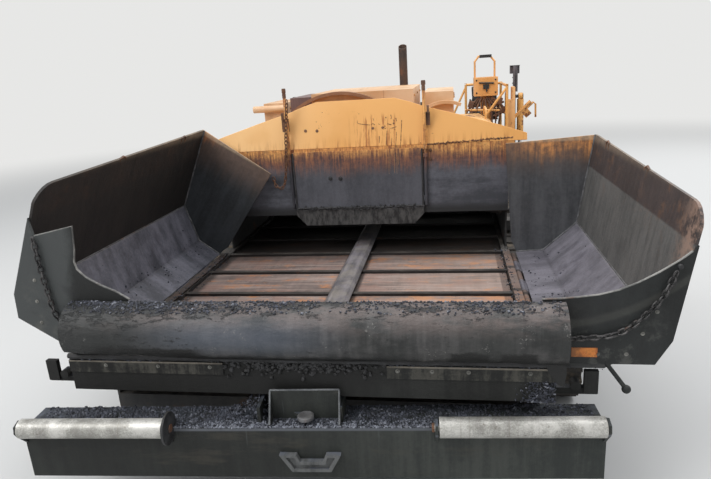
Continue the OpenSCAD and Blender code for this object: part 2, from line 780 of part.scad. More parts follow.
module push_roller(side) {
    color(steel) at_beam() on_side(side) {
        bar_x(roller_inner_x, roller_inner_x + push_roller_len, roller_y, roller_z, push_roller_r);
        bar_x(roller_inner_x - roller_side_gap - 16,
            roller_inner_x + push_roller_len + roller_side_gap + 16,
            roller_y, roller_z, push_shaft_r);
    }
}

// Engine cover: a hollow shell with a door opening on each side
cover_half_w = frame_x1 - 6;
cover_y0 = -1000;
cover_y1 = 880;
cover_t = 25;
cover_side_z0 = 1105;
grille_half_w = 620;
grille_z0 = 1180;
grille_z1 = 1400;
door_y0 = -700;
door_y1 = 620;
door_z0 = 1170;
door_z1 = 1350;
cover_bevel = 70;

module cover_profile(grow) {
    polygon([
        [-cover_half_w - grow, cover_side_z0 + grow], [-cover_half_w - grow, cover_z - cover_bevel],
        [-cover_half_w + 110 - grow, cover_z + grow], [cover_half_w - 110 + grow, cover_z + grow],
        [cover_half_w + grow, cover_z - cover_bevel], [cover_half_w + grow, cover_side_z0 + grow]
    ]);
}

module engine_cover() {
    color(yellow) difference() {
        translate([0, cover_y1, 0]) rotate([90, 0, 0]) linear_extrude(cover_y1 - cover_y0)
            cover_profile(0);
        translate([0, cover_y1 - cover_t, 0]) rotate([90, 0, 0])
            linear_extrude(cover_y1 - cover_y0 - 2 * cover_t) cover_profile(-cover_t);
        for (side = [LEFT, RIGHT]) on_side(side)
            slab(cover_half_w - cover_t - 5, cover_half_w + 5, door_y0, door_y1, door_z0, door_z1);
        slab(-grille_half_w, grille_half_w, cover_y0 - 1, cover_y0 + cover_t + 1, grille_z0, grille_z1);
    }
    color(steel) for (side = [LEFT, RIGHT]) on_side(side) for (y = [-560, 480]) {
        door_knuckle(y - 42, true);
        bar_y(y - 42, y + 40, door_pin_x, door_z1, door_pin_r);
    }
}

module cover_boxes() {
    color(yellow) {
        slab(-390, 390, -700, 300, cover_z, cover_crown_z);
        slab(462, 688, -520, 260, cover_z, 1750);
        slab(-903, -699, -300, 300, cover_z, 1720);
    }
    color(charcoal) slab(-580, -390, -620, 100, cover_z, 1767);
    // Rolled sheet in front of the low box
    color(yellow) bar_x(-985, -690, -326, 1676, 28);
    // Arched guards: middle, height of the top, radius, front face of the box behind, and the
    // angles at which the arch starts and ends
    for (row = [[-171, 1801, 589, -700, 128, 60], [622, 1682, 308, -520, 122, 66]])
        color(yellow) cross_plate(concat(
            arc([row[0], row[1] - row[2]], row[2], row[4], row[5], 12),
            arc([row[0], row[1] - row[2]], row[2] - 24, row[5], row[4], 12)
        ), row[3] - 60, row[3] + 1);
}

door_pin_x = cover_half_w + 9;
door_knuckle_r = 8;
door_pin_r = 4;

module door_knuckle(y, above) {
    z0 = above ? door_z1 + 2 : door_z1 - 24;
    difference() {
        union() {
            bar_y(y, y + 40, door_pin_x, door_z1, door_knuckle_r);
            slab(cover_half_w - 3, door_pin_x - 2, y, y + 40, z0, z0 + 22);
        }
        bar_y(y - 1, y + 41, door_pin_x, door_z1, door_pin_r + pin_gap);
    }
}

module engine_door(side) {
    color(yellow) on_side(side) {
        slab(cover_half_w - cover_t, cover_half_w,
            door_y0 + run_gap, door_y1 - run_gap, door_z0 + run_gap, door_z1 - run_gap);
        for (y = [-560, 480]) door_knuckle(y, false);
    }
}

module radiator_grille() {
    color(black) {
        difference() {
            slab(-grille_half_w, grille_half_w, cover_y0 + 2, cover_y0 + 22, grille_z0, grille_z1);
            slab(-grille_half_w + 34, grille_half_w - 34, cover_y0 + 1, cover_y0 + 23,
                grille_z0 + 34, grille_z1 - 34);
        }
        for (z = [grille_z0 + 50:38:grille_z1 - 50]) {
            slab(-grille_half_w + 32, grille_half_w - 32, cover_y0 + 6, cover_y0 + 14, z, z + 14);
        }
    }
}

module exhaust_stack() {
    color(black) {
        bar_z(cover_z, cover_z + 130, 237, 423, 70);
        difference() {
            bar_z(cover_z + 130, exhaust_top_z, 237, 423, 38);
            bar_z(exhaust_top_z - 260, exhaust_top_z + 1, 237, 423, 33);
            translate([237, 423, exhaust_top_z - 45]) rotate([30, 0, 0])
                slab(-60, 60, -120, 120, 0, 120);
        }
    }
}

module engine_block() {
    color(black) slab(-420, 420, -600, 620, tunnel_top_z + 12, cover_z - 55);
}

// Operator's deck and what stands on it
deck_half_w = 1240;
module operator_deck() {
    color(charcoal) {
        slab(-deck_half_w, deck_half_w, 900, 1760, deck_z - 8, deck_z);
        for (side = [LEFT, RIGHT]) on_side(side) {
            slab(frame_x1, deck_half_w, 900, 1690, 860, deck_z - 8);
            // Post that the screed's lift cylinder hangs from
            slab(deck_half_w, lift_x - 56, lift_y - 60, lift_y + 60, 1040, 1105);
            side_plate([
                [lift_y - 90, 1040], [lift_y + 90, 1040], [lift_y + 50, lift_base_z + 50],
                [lift_y - 50, lift_base_z + 50]
            ], lift_x - 80, lift_x - 56);
            bar_x(lift_x - 56, lift_x + 30, lift_y, lift_base_z, lift_pin_r);
        }
    }
}

module operator_console() {
    color(yellow) {
        slab(-900, 760, 905, 1100, deck_z, 1430);
        // Control box on its pedestal, with a guard hoop
        slab(900, 1139, 1100, 1340, 1608, 1792);
        slab(970, 1070, 1160, 1280, deck_z, 1608);
        tube([for (q = hoop) [q[0], 1220, q[1]]], 10);
        slab(1232, 1300, 1000, 1180, deck_z, 1560);
        slab(1272, 1300, 1000, 1180, 1560, 1685);
    }
    color(charcoal) slab(-1120, -910, 1100, 1300, deck_z, 1420);
}
// Line of the guard hoop, [x, z]
hoop = [[912, 1785], [912, 1950], [950, 2000], [1070, 1996], [1112, 1945], [1112, 1785]];

// Bent tube through a line of points, with a slightly thicker ball at each bend
module tube(line, r) {
    for (i = [0:len(line) - 2]) bar(line[i], line[i + 1], r);
    for (i = [1:len(line) - 2]) translate(line[i]) sphere(r = r + 1);
}

// Lamp for night work on the screed, on the right lift post
module work_lamp() {
    z0 = lift_base_z + 50;
    color(black) {
        slab(lift_x - 80, lift_x - 34, lift_y - 30, lift_y + 30, z0, exhaust_top_z - 290);
        slab(lift_x - 110, lift_x - 10, lift_y + 30, lift_y + 84, exhaust_top_z - 370, exhaust_top_z - 290);
    }
    color(steel) bar_y(lift_y + 84, lift_y + 88, lift_x - 60, exhaust_top_z - 330, 32);
}

module seat(side) {
    color(black) on_side(side) {
        bar_z(deck_z, deck_z + 220, 1030, 1520, 45);
        slab(880, 1180, 1370, 1690, deck_z + 220, deck_z + 310);
        slab(880, 1180, 1620, 1690, deck_z + 310, deck_z + 570);
    }
}

module deck_rails() {
    // Right side at full height, left side low: [side, height of the top rail]
    color(yellow) for (row = [[RIGHT, 1705], [LEFT, 1400]]) on_side(row[0]) {
        for (x = [830, 1215]) bar_z(deck_z, row[1], x, 1735, 14);
        bar_z(deck_z, row[1], 1215, 950, 14);
        bar_y(950, 1735, 1215, row[1], 14);
        bar_x(830, 1215, 1735, row[1], 14);
    }
    color(yellow) {
        bar_x(830, 1215, 1735, 1430, 12);
        bar_y(950, 1735, 1215, 1430, 12);
        brace([830, 1735, 1680], 570);
        brace([1215, 950, 1690], 790);
    }
}

// Brace from a post down to the deck, which its tilted end just reaches
module brace(top, foot_x) {
    r = 12;
    lean = abs(top[0] - foot_x) / norm([top[0] - foot_x, top[2] - deck_z]);
    bar(top, [foot_x, top[1], deck_z + r * lean + 0.3], r);
}

module boarding_steps() {
    color(charcoal) for (side = [LEFT, RIGHT]) on_side(side) {
        for (x = [560, 840]) slab(x, x + 12, 1714, 1740, 800, deck_z - 8);
        for (z = [820, 980]) slab(572, 840, 1714, 1800, z, z + 10);
    }
}

// Track: shoes with pads on a link band, all in one loop
module track(side) {
    path = belt_length(track_front, track_rear);
    shoes = round(path / shoe_pitch);
    step = path / shoes;
    outer = [for (i = [0:shoes - 1], corner = [[0.06, track_link_h + 4], [0.14, 65],
            [0.86, 65], [0.94, track_link_h + 4]])
        let (p = belt_point(track_front, track_rear, (i + corner[0]) * step))
        p[0] + corner[1] * [-sin(p[1]), cos(p[1])]];
    color(black) on_side(side) {
        translate([track_x - track_w / 2, 0, 0]) rotate([90, 0, 90]) linear_extrude(track_w)
            difference() {
                polygon(outer);
                polygon(belt(track_front, track_rear, track_link_h - 8, 10));
            }
        translate([track_x - 60, 0, 0]) rotate([90, 0, 90]) linear_extrude(120)
            difference() {
                polygon(belt(track_front, track_rear, track_link_h - 8, 10));
                polygon(belt(track_front, track_rear, 1, 16));
            }
    }
}

module track_frame(side) {
    color(charcoal) on_side(side) {
        for (x = [track_x - 78, track_x + 66]) {
            side_plate([
                [-1960, 230], [-1900, 320], [-1700, 400], [900, 430], [1180, 400],
                [1180, 250], [900, 130], [-1650, 110]
            ], x, x + 12);
        }
        for (y = axle_y) bar_x(frame_x1 + 22, track_x + 66, y, axle_z, 50);
    }
    color(steel) on_side(side) {
        difference() {
            bar_x(track_x - 55, track_x + 55, track_front[0], track_front[1], idler_r - 3);
            for (x = [track_x - 56, track_x + 30])
                bar_x(x, x + 26, track_front[0], track_front[1], idler_r - 45);
        }
        sprocket_wheel();
        bar_x(track_x - 55, track_x + 55, track_rear[0], track_rear[1], sprocket_r - 70);
        for (y = [track_front[0], track_rear[0]]) bar_x(track_x - 72, track_x + 72, y,
            y < 0 ? track_front[1] : track_rear[1], 40);
        for (y = [-1500:400:900]) {
            bar_x(track_x - 55, track_x + 55, y, 65 + 85, 84);
            bar_x(track_x - 72, track_x + 72, y, 65 + 85, 25);
        }
    }
}

// Drive wheel: root, tip, tip and root of each tooth in turn
sprocket_teeth = 16;
module sprocket_wheel() {
    side_plate([for (i = [0:sprocket_teeth - 1], c = [[0.1, 32], [0.32, 5], [0.58, 5], [0.8, 32]])
        let (a = 360 * (i + c[0]) / sprocket_teeth, r = sprocket_r - c[1])
        [track_rear[0] + r * cos(a), track_rear[1] + r * sin(a)]
    ], track_x - 30, track_x + 30);
}

// Augers
module auger(side) {
    color(steel) on_side(side) {
        bar_x(auger_start - 52, auger_reach, auger_y, auger_z, auger_shaft_r);
        translate([auger_start, auger_y, auger_z]) auger_flight(auger_reach - auger_start - 30);
    }
}

// Helical blade that starts inside the shaft. Each ring of its mesh is one cross section,
// [distance along the shaft, radius], turned a little further round than the last.
auger_start = 90;
auger_shaft_r = 42;
auger_steps = 18;
module auger_flight(length) {
    section = [[-8, auger_shaft_r - 8], [-5, auger_r], [5, auger_r], [8, auger_shaft_r - 8]];
    rings = round(auger_steps * (length - 16) / auger_pitch);
    corners = len(section);
    points = [for (i = [0:rings], c = section)
        let (a = 360 * i / auger_steps)
        [8 + i * auger_pitch / auger_steps + c[0], c[1] * cos(a), c[1] * sin(a)]];
    sides = [for (i = [0:rings - 1], j = [0:corners - 1])
        let (k = (j + 1) % corners)
        each [
            [i * corners + j, (i + 1) * corners + k, (i + 1) * corners + j],
            [i * corners + j, i * corners + k, (i + 1) * corners + k]
        ]];
    polyhedron(points, concat(sides, [
        [for (j = [corners - 1:-1:0]) j],
        [for (j = [0:corners - 1]) rings * corners + j]
    ]));
}

module auger_drive_case() {
    color(charcoal) difference() {
        slab(-66, 66, frame_rear_y + 14, auger_y + 70, 480, 760);
        for (side = [LEFT, RIGHT]) on_side(side)
            bar_x(auger_start - 54, 67, auger_y, auger_z, auger_shaft_r + pin_gap);
    }
}

// Tow arm from the tractor's side to the screed
module tow_arm(side) {
    color(yellow) on_side(side) {
        difference() {
            union() {
                side_plate([
                    [tow_pin_y, tow_pin_z - 60], [tow_pin_y, tow_pin_z + 60],
                    [lift_y - 100, tow_pin_z + 100], [screed_front_y + 110, tow_pin_z - 20],
                    [screed_back_y - 60, tow_pin_z - 100], [screed_back_y - 60, screed_sole_z + 210],
                    [screed_front_y + 110, screed_sole_z + 210], [lift_y - 100, tow_pin_z - 50]
                ], tow_arm_x0, tow_arm_x1);
                bar_x(tow_arm_x0, tow_arm_x1, tow_pin_y, tow_pin_z, 60);
                bar_x(tow_arm_x0, tow_arm_x1, lift_y, lift_eye_z, lift_pin_r + lift_eye_play + 16);
                slab(tow_arm_x0, tow_arm_x1, lift_y - 49, lift_y + 49, tow_pin_z + 40, lift_eye_z);
            }
            bar_x(tow_arm_x0 - 1, tow_arm_x1 + 1, tow_pin_y, tow_pin_z, tow_pin_r + pin_gap);
            bar_x(tow_arm_x0 - 1, tow_arm_x1 + 1, lift_y, lift_eye_z, lift_pin_r + lift_eye_play);
        }
        for (y = [screed_front_y + 70, screed_back_y - 100])
            slab(screed_half_w, tow_arm_x0, y, y + 20, screed_sole_z + 210, screed_top_z - 40);
    }
}

module screed_body() {
    color(charcoal) side_plate([
        [screed_front_y, screed_sole_z + 40], [screed_front_y + 40, screed_sole_z],
        [screed_back_y, screed_sole_z], [screed_back_y, screed_sole_z + 60],
        [screed_back_y - 60, screed_top_z], [screed_front_y + 60, screed_top_z],
        [screed_front_y, screed_top_z - 120]
    ], -screed_half_w, screed_half_w);
    // Rails that the extenders slide on
    for (side = [LEFT, RIGHT]) on_side(side) {
        color(steel) bar_x(60, screed_half_w, rail_y, rail_z, rail_r);
        color(charcoal) for (x = [60, screed_half_w - 14]) side_plate([
            [screed_back_y - 100, screed_top_z - 10], [rail_y + 36, rail_z - 36],
            [rail_y + 36, rail_z + 30], [screed_back_y - 100, rail_z + 30]
        ], x, x + 14);
    }
}

module screed_walkway() {
    color(charcoal) slab(-screed_half_w, screed_half_w, screed_back_y - 60, extender_back_y - 90,
        screed_top_z + 130, screed_top_z + 138);
    color(charcoal) for (x = [-1100, -10, 1080]) side_plate([
        [screed_back_y - 160, screed_top_z], [screed_back_y - 104, screed_top_z],
        [screed_back_y - 60, screed_top_z + 50], [extender_back_y - 100, screed_top_z + 90],
        [extender_back_y - 100, screed_top_z + 130], [screed_back_y - 160, screed_top_z + 130]
    ], x, x + 20);
}

module extender(side) {
    inner = 175;
    color(charcoal) on_side(side) {
        side_plate([
            [screed_back_y + run_gap + 8, screed_sole_z + 20], [screed_back_y + 40, screed_sole_z],
            [extender_back_y - 40, screed_sole_z], [extender_back_y - 40, screed_sole_z + 60],
            [extender_back_y - 120, screed_top_z - 40], [screed_back_y + run_gap + 8, screed_top_z - 40]
        ], inner, end_gate_x - 15);
        // Sleeves round the slide rail
        for (x = [215, 500]) difference() {
            slab(x, x + 80, rail_y - 31, rail_y + 34, screed_top_z - 50, rail_z + 36);
            bar_x(x - 1, x + 81, rail_y, rail_z, rail_r + pin_gap);
        }
        side_plate([
            [auger_y - 60, screed_sole_z + 60], [screed_front_y, screed_sole_z],
            [extender_back_y, screed_sole_z], [extender_back_y, screed_top_z - 80],
            [screed_front_y, screed_top_z - 40], [auger_y - 60, screed_top_z - 120]
        ], end_gate_x - 15, end_gate_x);
    }
}

// Screed lift cylinders, which hang from the posts and hold the tow arms
module at_lift(side) {
    on_side(side) translate([lift_x, lift_y, lift_base_z]) rotate([180, 0, 90]) children();
}

module lift_barrel(side) {
    color(yellow) at_lift(side) cylinder_barrel(lift_barrel_len, 36, lift_rod_r, 36, lift_pin_r, 44);
}

// The rod ends in a fork, whose pin reaches through the tow arm's wide ear
module lift_rod(side) {
    len = lift_base_z - lift_eye_z;
    half = (tow_arm_x1 - tow_arm_x0) / 2;
    color(steel) at_lift(side) {
        bar_z(len - 440, len - 72, 0, 0, lift_rod_r);
        slab(-30, 30, -half - 18, half + 18, len - 82, len - 66);
        for (y = [-half - 18, half + 6]) {
            slab(-30, 30, y, y + 12, len - 72, len);
            bar_y(y, y + 12, 0, len, 30);
        }
        bar_y(-half - 24, half + 24, 0, len, lift_pin_r);
    }
}

main_frame();
hopper_floor();
conveyor(LEFT);  // conveyor_left
conveyor(RIGHT);  // conveyor_right
conveyor_divider();
bulkhead();
bulkhead_hood();
flow_gate();
wing_pan(LEFT);  // wing_pan_left
wing_rear(LEFT);  // wing_rear_left
wing_front(LEFT);  // wing_front_left
wing_pan(RIGHT);  // wing_pan_right
wing_rear(RIGHT);  // wing_rear_right
wing_front(RIGHT);  // wing_front_right
wing_barrel(LEFT);  // wing_barrel_left
wing_rod(LEFT);  // wing_rod_left
wing_barrel(RIGHT);  // wing_barrel_right
wing_rod(RIGHT);  // wing_rod_right
apron();
nose_panel();
push_beam();
push_roller(LEFT);  // push_roller_left
push_roller(RIGHT);  // push_roller_right
engine_cover();
cover_boxes();
engine_door(LEFT);  // engine_door_left
engine_door(RIGHT);  // engine_door_right
radiator_grille();
exhaust_stack();
engine_block();
operator_deck();
operator_console();
seat(LEFT);  // seat_left
seat(RIGHT);  // seat_right
deck_rails();
work_lamp();
boarding_steps();
track(LEFT);  // track_left
track(RIGHT);  // track_right
track_frame(LEFT);  // track_frame_left
track_frame(RIGHT);  // track_frame_right
auger(LEFT);  // auger_left
auger(RIGHT);  // auger_right
auger_drive_case();
tow_arm(LEFT);  // tow_arm_left
tow_arm(RIGHT);  // tow_arm_right
screed_body();
screed_walkway();
extender(LEFT);  // extender_left
extender(RIGHT);  // extender_right
lift_barrel(LEFT);  // lift_barrel_left
lift_rod(LEFT);  // lift_rod_left
lift_barrel(RIGHT);  // lift_barrel_right
lift_rod(RIGHT);  // lift_rod_right
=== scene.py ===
import math
import random

import bpy
import bmesh
from mathutils import Matrix, Vector, noise


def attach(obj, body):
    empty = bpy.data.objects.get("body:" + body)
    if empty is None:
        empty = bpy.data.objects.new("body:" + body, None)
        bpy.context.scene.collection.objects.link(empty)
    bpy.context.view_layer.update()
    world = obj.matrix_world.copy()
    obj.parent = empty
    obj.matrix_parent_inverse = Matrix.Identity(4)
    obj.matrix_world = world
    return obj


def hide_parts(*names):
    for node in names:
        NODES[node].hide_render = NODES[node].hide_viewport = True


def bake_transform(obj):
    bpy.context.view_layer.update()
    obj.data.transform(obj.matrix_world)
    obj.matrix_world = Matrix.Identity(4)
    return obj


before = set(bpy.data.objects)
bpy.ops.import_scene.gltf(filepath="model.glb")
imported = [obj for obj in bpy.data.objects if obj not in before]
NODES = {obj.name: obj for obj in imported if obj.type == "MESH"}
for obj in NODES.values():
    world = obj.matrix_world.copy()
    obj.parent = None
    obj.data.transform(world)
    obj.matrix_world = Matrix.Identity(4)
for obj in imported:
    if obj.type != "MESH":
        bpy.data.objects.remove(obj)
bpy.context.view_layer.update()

SIDES = {"left": -1, "right": 1}
WING_ANGLE = {"left": math.radians(32.3), "right": 0.0}
HINGE = Vector((1.075, 0.0, 0.642))      # hinge line of the right wing, mirrored for the left

# Planes and axes of the part as it stands, in metres
FRONT_Y = -2.990                    # face of the wings' front plates
WING_END_Y = -1.1935                # face of the wings' rear plates
BULKHEAD_Y, HOOD_FOOT_Z = -1.104, 1.4257
HOOD_LEAN = math.radians(12)
GATE_Y = -1.1265                    # front face of the flow gate
GATE_FOLD_Z = 0.992                 # fold above the gate's lip
SLAT_PITCH = 0.397
HOPPER_HALF_W = 1.03
FLOOR_Z, SLAT_Z = 0.650, 0.683      # tops of the hopper's floor and of the slats
APRON_Y, APRON_Z, APRON_R = -2.998, 0.900, 0.130
BEAM_HALF_W, BEAM_Z = 1.22, 0.517   # the push beam's top
BEAM_STEP_X = 0.575                 # further out the push beam makes room for the rollers
BEAM_PIN_Y, BEAM_TURN = -2.825, math.radians(3.85)
ROLLER_Y, ROLLER_Z = -3.177, 0.538  # axis of the push rollers, before the beam is turned
DOOR_X = 1.0465                     # outer face of the engine doors
DECK_Z = 1.130                      # top of the operator's deck
REAR_Y = 1.7145                     # rear wall of the frame
LIFT_X = 1.415                      # plane of the screed's lift cylinders

# The photo's camera, fitted to the hopper's edges
PHOTO_MIDDLE = (355.5, 239.5)
EYE = Vector((0.67765, -5.23666, 1.95548))
RIGHT = Vector((0.98600, 0.15456, -0.06262))
UP = Vector((0.01637, 0.28403, 0.95868))
FORWARD = Vector((-0.16597, 0.94628, -0.27752))
FOCUS = 588.775


def pixel_ray(px, py):
    """The way in which the camera looks at a pixel of the photo."""
    return FORWARD * FOCUS + RIGHT * (px - PHOTO_MIDDLE[0]) - UP * (py - PHOTO_MIDDLE[1])


def seen(px, py, y):
    """The point that the photo shows at a pixel, on the upright plane at y."""
    ray = pixel_ray(px, py)
    return EYE + ray * ((y - EYE.y) / ray.y)


def make_camera():
    """A camera that sees the part as the photo does."""
    data = bpy.data.cameras.new("photo_camera")
    data.sensor_width = 36.0
    data.lens = 29.81    # sensor width x FOCUS / photo width
    cam = bpy.data.objects.new("photo_camera", data)
    bpy.context.scene.collection.objects.link(cam)
    cam.matrix_world = Matrix((
        (RIGHT.x, UP.x, -FORWARD.x, EYE.x),
        (RIGHT.y, UP.y, -FORWARD.y, EYE.y),
        (RIGHT.z, UP.z, -FORWARD.z, EYE.z),
        (0, 0, 0, 1),
    ))
    bpy.context.scene.camera = cam


def area_light(name, place, target, size, power, tint=(1, 1, 1)):
    """A round soft light that looks from a place at a target."""
    data = bpy.data.lights.new(name, "AREA")
    data.shape = "DISK"
    data.size = size
    data.energy = power
    data.color = tint
    lamp = bpy.data.objects.new(name, data)
    bpy.context.scene.collection.objects.link(lamp)
    lamp.location = place
    lamp.rotation_mode = "QUATERNION"
    lamp.rotation_quaternion = (Vector(target) - Vector(place)).to_track_quat("-Z", "Y")


PALE = (0.80, 0.80, 0.79, 1.0)


def make_stage():
    """A pale backdrop, a floor that fades into it, and three soft lights."""
    scene = bpy.context.scene
    scene.view_settings.view_transform = "Standard"
    world = bpy.data.worlds.new("studio")
    scene.world = world
    world.use_nodes = True
    g = Graph(world.node_tree)
    rays = g.add("ShaderNodeLightPath")
    direct = g.math("MAXIMUM", rays.outputs["Is Camera Ray"], rays.outputs["Is Glossy Ray"])
    direct = g.math("MAXIMUM", direct, rays.outputs["Is Transmission Ray"])
    soft = g.add("ShaderNodeBackground", {"Color": (0.93, 0.96, 1.0, 1), "Strength": 0.62})
    back = g.add("ShaderNodeBackground", {"Color": PALE, "Strength": 1.0})
    mix = g.add("ShaderNodeMixShader", {"Fac": direct, 1: soft.outputs[0], 2: back.outputs[0]})
    g.add("ShaderNodeOutputWorld", {"Surface": mix.outputs[0]})

    mesh = bpy.data.meshes.new("studio_floor")
    half = 60.0
    corners = [(x * half, y * half, -0.003) for x, y in ((-1, -1), (1, -1), (1, 1), (-1, 1))]
    mesh.from_pydata(corners, [], [(0, 1, 2, 3)])
    floor = bpy.data.objects.new("studio_floor", mesh)
    scene.collection.objects.link(floor)
    mat = bpy.data.materials.new("studio_floor")
    mat.use_nodes = True
    g = Graph(mat.node_tree)
    where = g.coords()
    far = g.ramp(g.length(where), 7.0, 16.0)
    plain = g.add("ShaderNodeBsdfDiffuse", {"Color": (0.56, 0.56, 0.55, 1)})
    glow = g.add("ShaderNodeEmission", {"Color": PALE, "Strength": 1.0})
    mix = g.add("ShaderNodeMixShader", {"Fac": far, 1: plain.outputs[0], 2: glow.outputs[0]})
    g.add("ShaderNodeOutputMaterial", {"Surface": mix.outputs[0]})
    mesh.materials.append(mat)

    area_light("key", (-5.0, -7.0, 8.0), (0, -1.5, 0.7), 6.0, 560)
    area_light("top", (1.5, -0.5, 9.0), (0, -0.5, 0.5), 9.0, 620, (0.97, 0.98, 1.0))
    area_light("rim", (6.5, 7.0, 6.0), (0, 1.0, 0.8), 6.0, 330)


def worked_out(op, swapped=False):
    """A method of Value that adds one maths node."""
    def method(self, *others):
        return self.graph.math(op, *((*others, self) if swapped else (self, *others)))
    return method


class Value:
    """A number that a shader node gives. Sums and comparisons with it add the nodes they need."""

    def __init__(self, graph, socket):
        self.graph = graph
        self.socket = socket

    __add__ = worked_out("ADD")
    __radd__ = worked_out("ADD", swapped=True)
    __sub__ = worked_out("SUBTRACT")
    __rsub__ = worked_out("SUBTRACT", swapped=True)
    __mul__ = worked_out("MULTIPLY")
    __truediv__ = worked_out("DIVIDE")
    __pow__ = worked_out("POWER")
    __lt__ = worked_out("LESS_THAN")
    __gt__ = worked_out("GREATER_THAN")
    __abs__ = worked_out("ABSOLUTE")


class Graph:
    """Short calls that add nodes to a tree and link their sockets."""

    def __init__(self, tree):
        self.tree = tree
        tree.nodes.clear()

    def put(self, socket, value):
        """Links a value to a socket, or sets it. A colour of three numbers is a screen tone."""
        if isinstance(value, Value):
            value = value.socket
        if isinstance(value, bpy.types.NodeSocket):
            self.tree.links.new(value, socket)
        elif isinstance(value, tuple) and len(value) == 3 and socket.type == "RGBA":
            socket.default_value = (*tone(*value), 1.0)
        else:
            socket.default_value = value

    def add(self, kind, inputs=(), **settings):
        node = self.tree.nodes.new(kind)
        for key, value in settings.items():
            setattr(node, key, value)
        for key, value in dict(inputs).items():
            self.put(node.inputs[key], value)
        return node

    def number(self, output, kind, inputs=(), **settings):
        """A new node's output as a value to reckon with."""
        return Value(self, self.add(kind, inputs, **settings).outputs[output])

    def math(self, op, *values):
        return self.number(0, "ShaderNodeMath", dict(enumerate(values)), operation=op)

    def ramp(self, x, low, high):
        """A smooth rise from 0 at low to 1 at high, or a fall where high is the lower one."""
        return self.number("Result", "ShaderNodeMapRange", {"Value": x, "From Min": low, "From Max": high},
                           interpolation_type="SMOOTHSTEP")

    def clamp(self, x):
        return self.number(0, "ShaderNodeClamp", {"Value": x})

    def coords(self):
        return self.add("ShaderNodeTexCoord").outputs["Object"]

    def shift(self, where, by):
        return self.add("ShaderNodeVectorMath", {0: where, 1: by}, operation="ADD").outputs[0]

    def stretch(self, where, scale):
        return self.add("ShaderNodeVectorMath", {0: where, 1: scale}, operation="MULTIPLY").outputs[0]

    def length(self, where):
        return self.number("Value", "ShaderNodeVectorMath", {0: where}, operation="LENGTH")

    def along(self, where, axis, start=(0, 0, 0)):
        """Distance of a point along a direction, from a start point."""
        axis = Vector(axis).normalized()
        far = self.number("Value", "ShaderNodeVectorMath", {0: where, 1: tuple(axis)},
                          operation="DOT_PRODUCT")
        return far - Vector(start).dot(axis)

    def noise(self, where, scale, detail=4.0, rough=0.55):
        """Cloudy noise. A scale of three numbers stretches it along the axes."""
        if isinstance(scale, tuple):
            where, scale = self.stretch(where, scale), 1.0
        return self.number("Fac", "ShaderNodeTexNoise", {"Vector": where, "Scale": scale, "Detail": detail,
                                                         "Roughness": rough, "Distortion": 0.0})

    def chance(self, where):
        """One random number for each place."""
        return self.number("Value", "ShaderNodeTexWhiteNoise", {"Vector": where})

    def cells(self, where, scale):
        """Random colours in cells round scattered points."""
        return self.add("ShaderNodeTexVoronoi", {"Vector": where, "Scale": scale}).outputs["Color"]

    def mix(self, fac, a, b):
        """Colour a where fac is 0 and colour b where it is 1."""
        node = self.add("ShaderNodeMix", data_type="RGBA", blend_type="MIX", clamp_factor=True)
        self.put(node.inputs["Factor"], fac)
        for key, value in ((6, a), (7, b)):
            self.put(node.inputs[key], value)
        return node.outputs[2]

    def blend(self, fac, a, b):
        """Number a where fac is 0 and number b where it is 1."""
        return self.number(0, "ShaderNodeMix", {0: fac, 2: a, 3: b}, data_type="FLOAT", clamp_factor=True)

    def part(self, where, axis):
        return self.number(axis, "ShaderNodeSeparateXYZ", {"Vector": where})

    def join(self, x, y, z):
        return self.add("ShaderNodeCombineXYZ", {"X": x, "Y": y, "Z": z}).outputs[0]

    def band(self, x, low, high, soft):
        """1 between two values and 0 outside, with soft edges."""
        return self.ramp(x, low - soft, low + soft) - self.ramp(x, high - soft, high + soft)

    def facing(self):
        """How far a surface faces up in its own object."""
        return self.part(self.add("ShaderNodeTexCoord").outputs["Normal"], "Z")

    def look(self, colour, rough, height=None, strength=0.5, distance=0.003, metal=0.0):
        """Inputs of the main shader, with a bump from a height."""
        inputs = {"Base Color": colour, "Roughness": rough, "Metallic": metal}
        if height is not None:
            bump = self.add("ShaderNodeBump", {"Height": height, "Strength": strength, "Distance": distance})
            inputs["Normal"] = bump.outputs[0]
        return inputs


def tone(red, green, blue):
    """A colour written as the 0-255 values that it has on a screen."""
    return tuple(((c / 255 + 0.055) / 1.055) ** 2.4 for c in (red, green, blue))


def both(stem):
    """The names of a left and a right node."""
    return [stem + "_" + side for side in SIDES]


def coat(name, recipe, *targets):
    """A material from a recipe, which returns inputs of the main shader, put on nodes."""
    mat = bpy.data.materials.new(name)
    mat.use_nodes = True
    g = Graph(mat.node_tree)
    shader = g.add("ShaderNodeBsdfPrincipled", recipe(g, g.coords()))
    g.add("ShaderNodeOutputMaterial", {"Surface": shader.outputs[0]})
    for target in targets:
        materials = NODES[target].data.materials
        materials.clear()
        materials.append(mat)
    return mat


def shades(g, where, scale, streak=None, seed=0.0):
    """Uneven light and dark from 0 to 1: clouds, grain and, if asked, streaks along an axis."""
    moved = g.shift(where, (seed, seed * 0.7, seed * 1.3))
    value = g.noise(moved, scale, 7, 0.62) * 0.65 + g.noise(moved, scale * 17, 4, 0.7) * 0.35
    if streak:
        lines = g.noise(moved, streak, 5, 0.65)
        value = value * 0.55 + lines * 0.45
    return g.ramp(value, 0.39, 0.61)


def dusted(g, where, colour, amount, dust=(128, 122, 112)):
    """Dry dust and crumbs on what faces up."""
    lying = g.ramp(g.facing(), 0.6, 0.98)
    patches = g.ramp(g.noise(where, 9, 6, 0.7), 0.36, 0.68)
    return g.mix(lying * patches * amount, colour, dust)


def speckled(g, where, colour, spots, scale, share, amount=1.0):
    """Small spots of another colour, over a share of the surface."""
    field = g.noise(where, scale, 3, 0.8) * g.noise(where, scale * 0.13, 3, 0.5)
    mask = g.ramp(field, 0.4 - share, 0.44 - share)
    return g.mix(mask * amount, colour, spots)


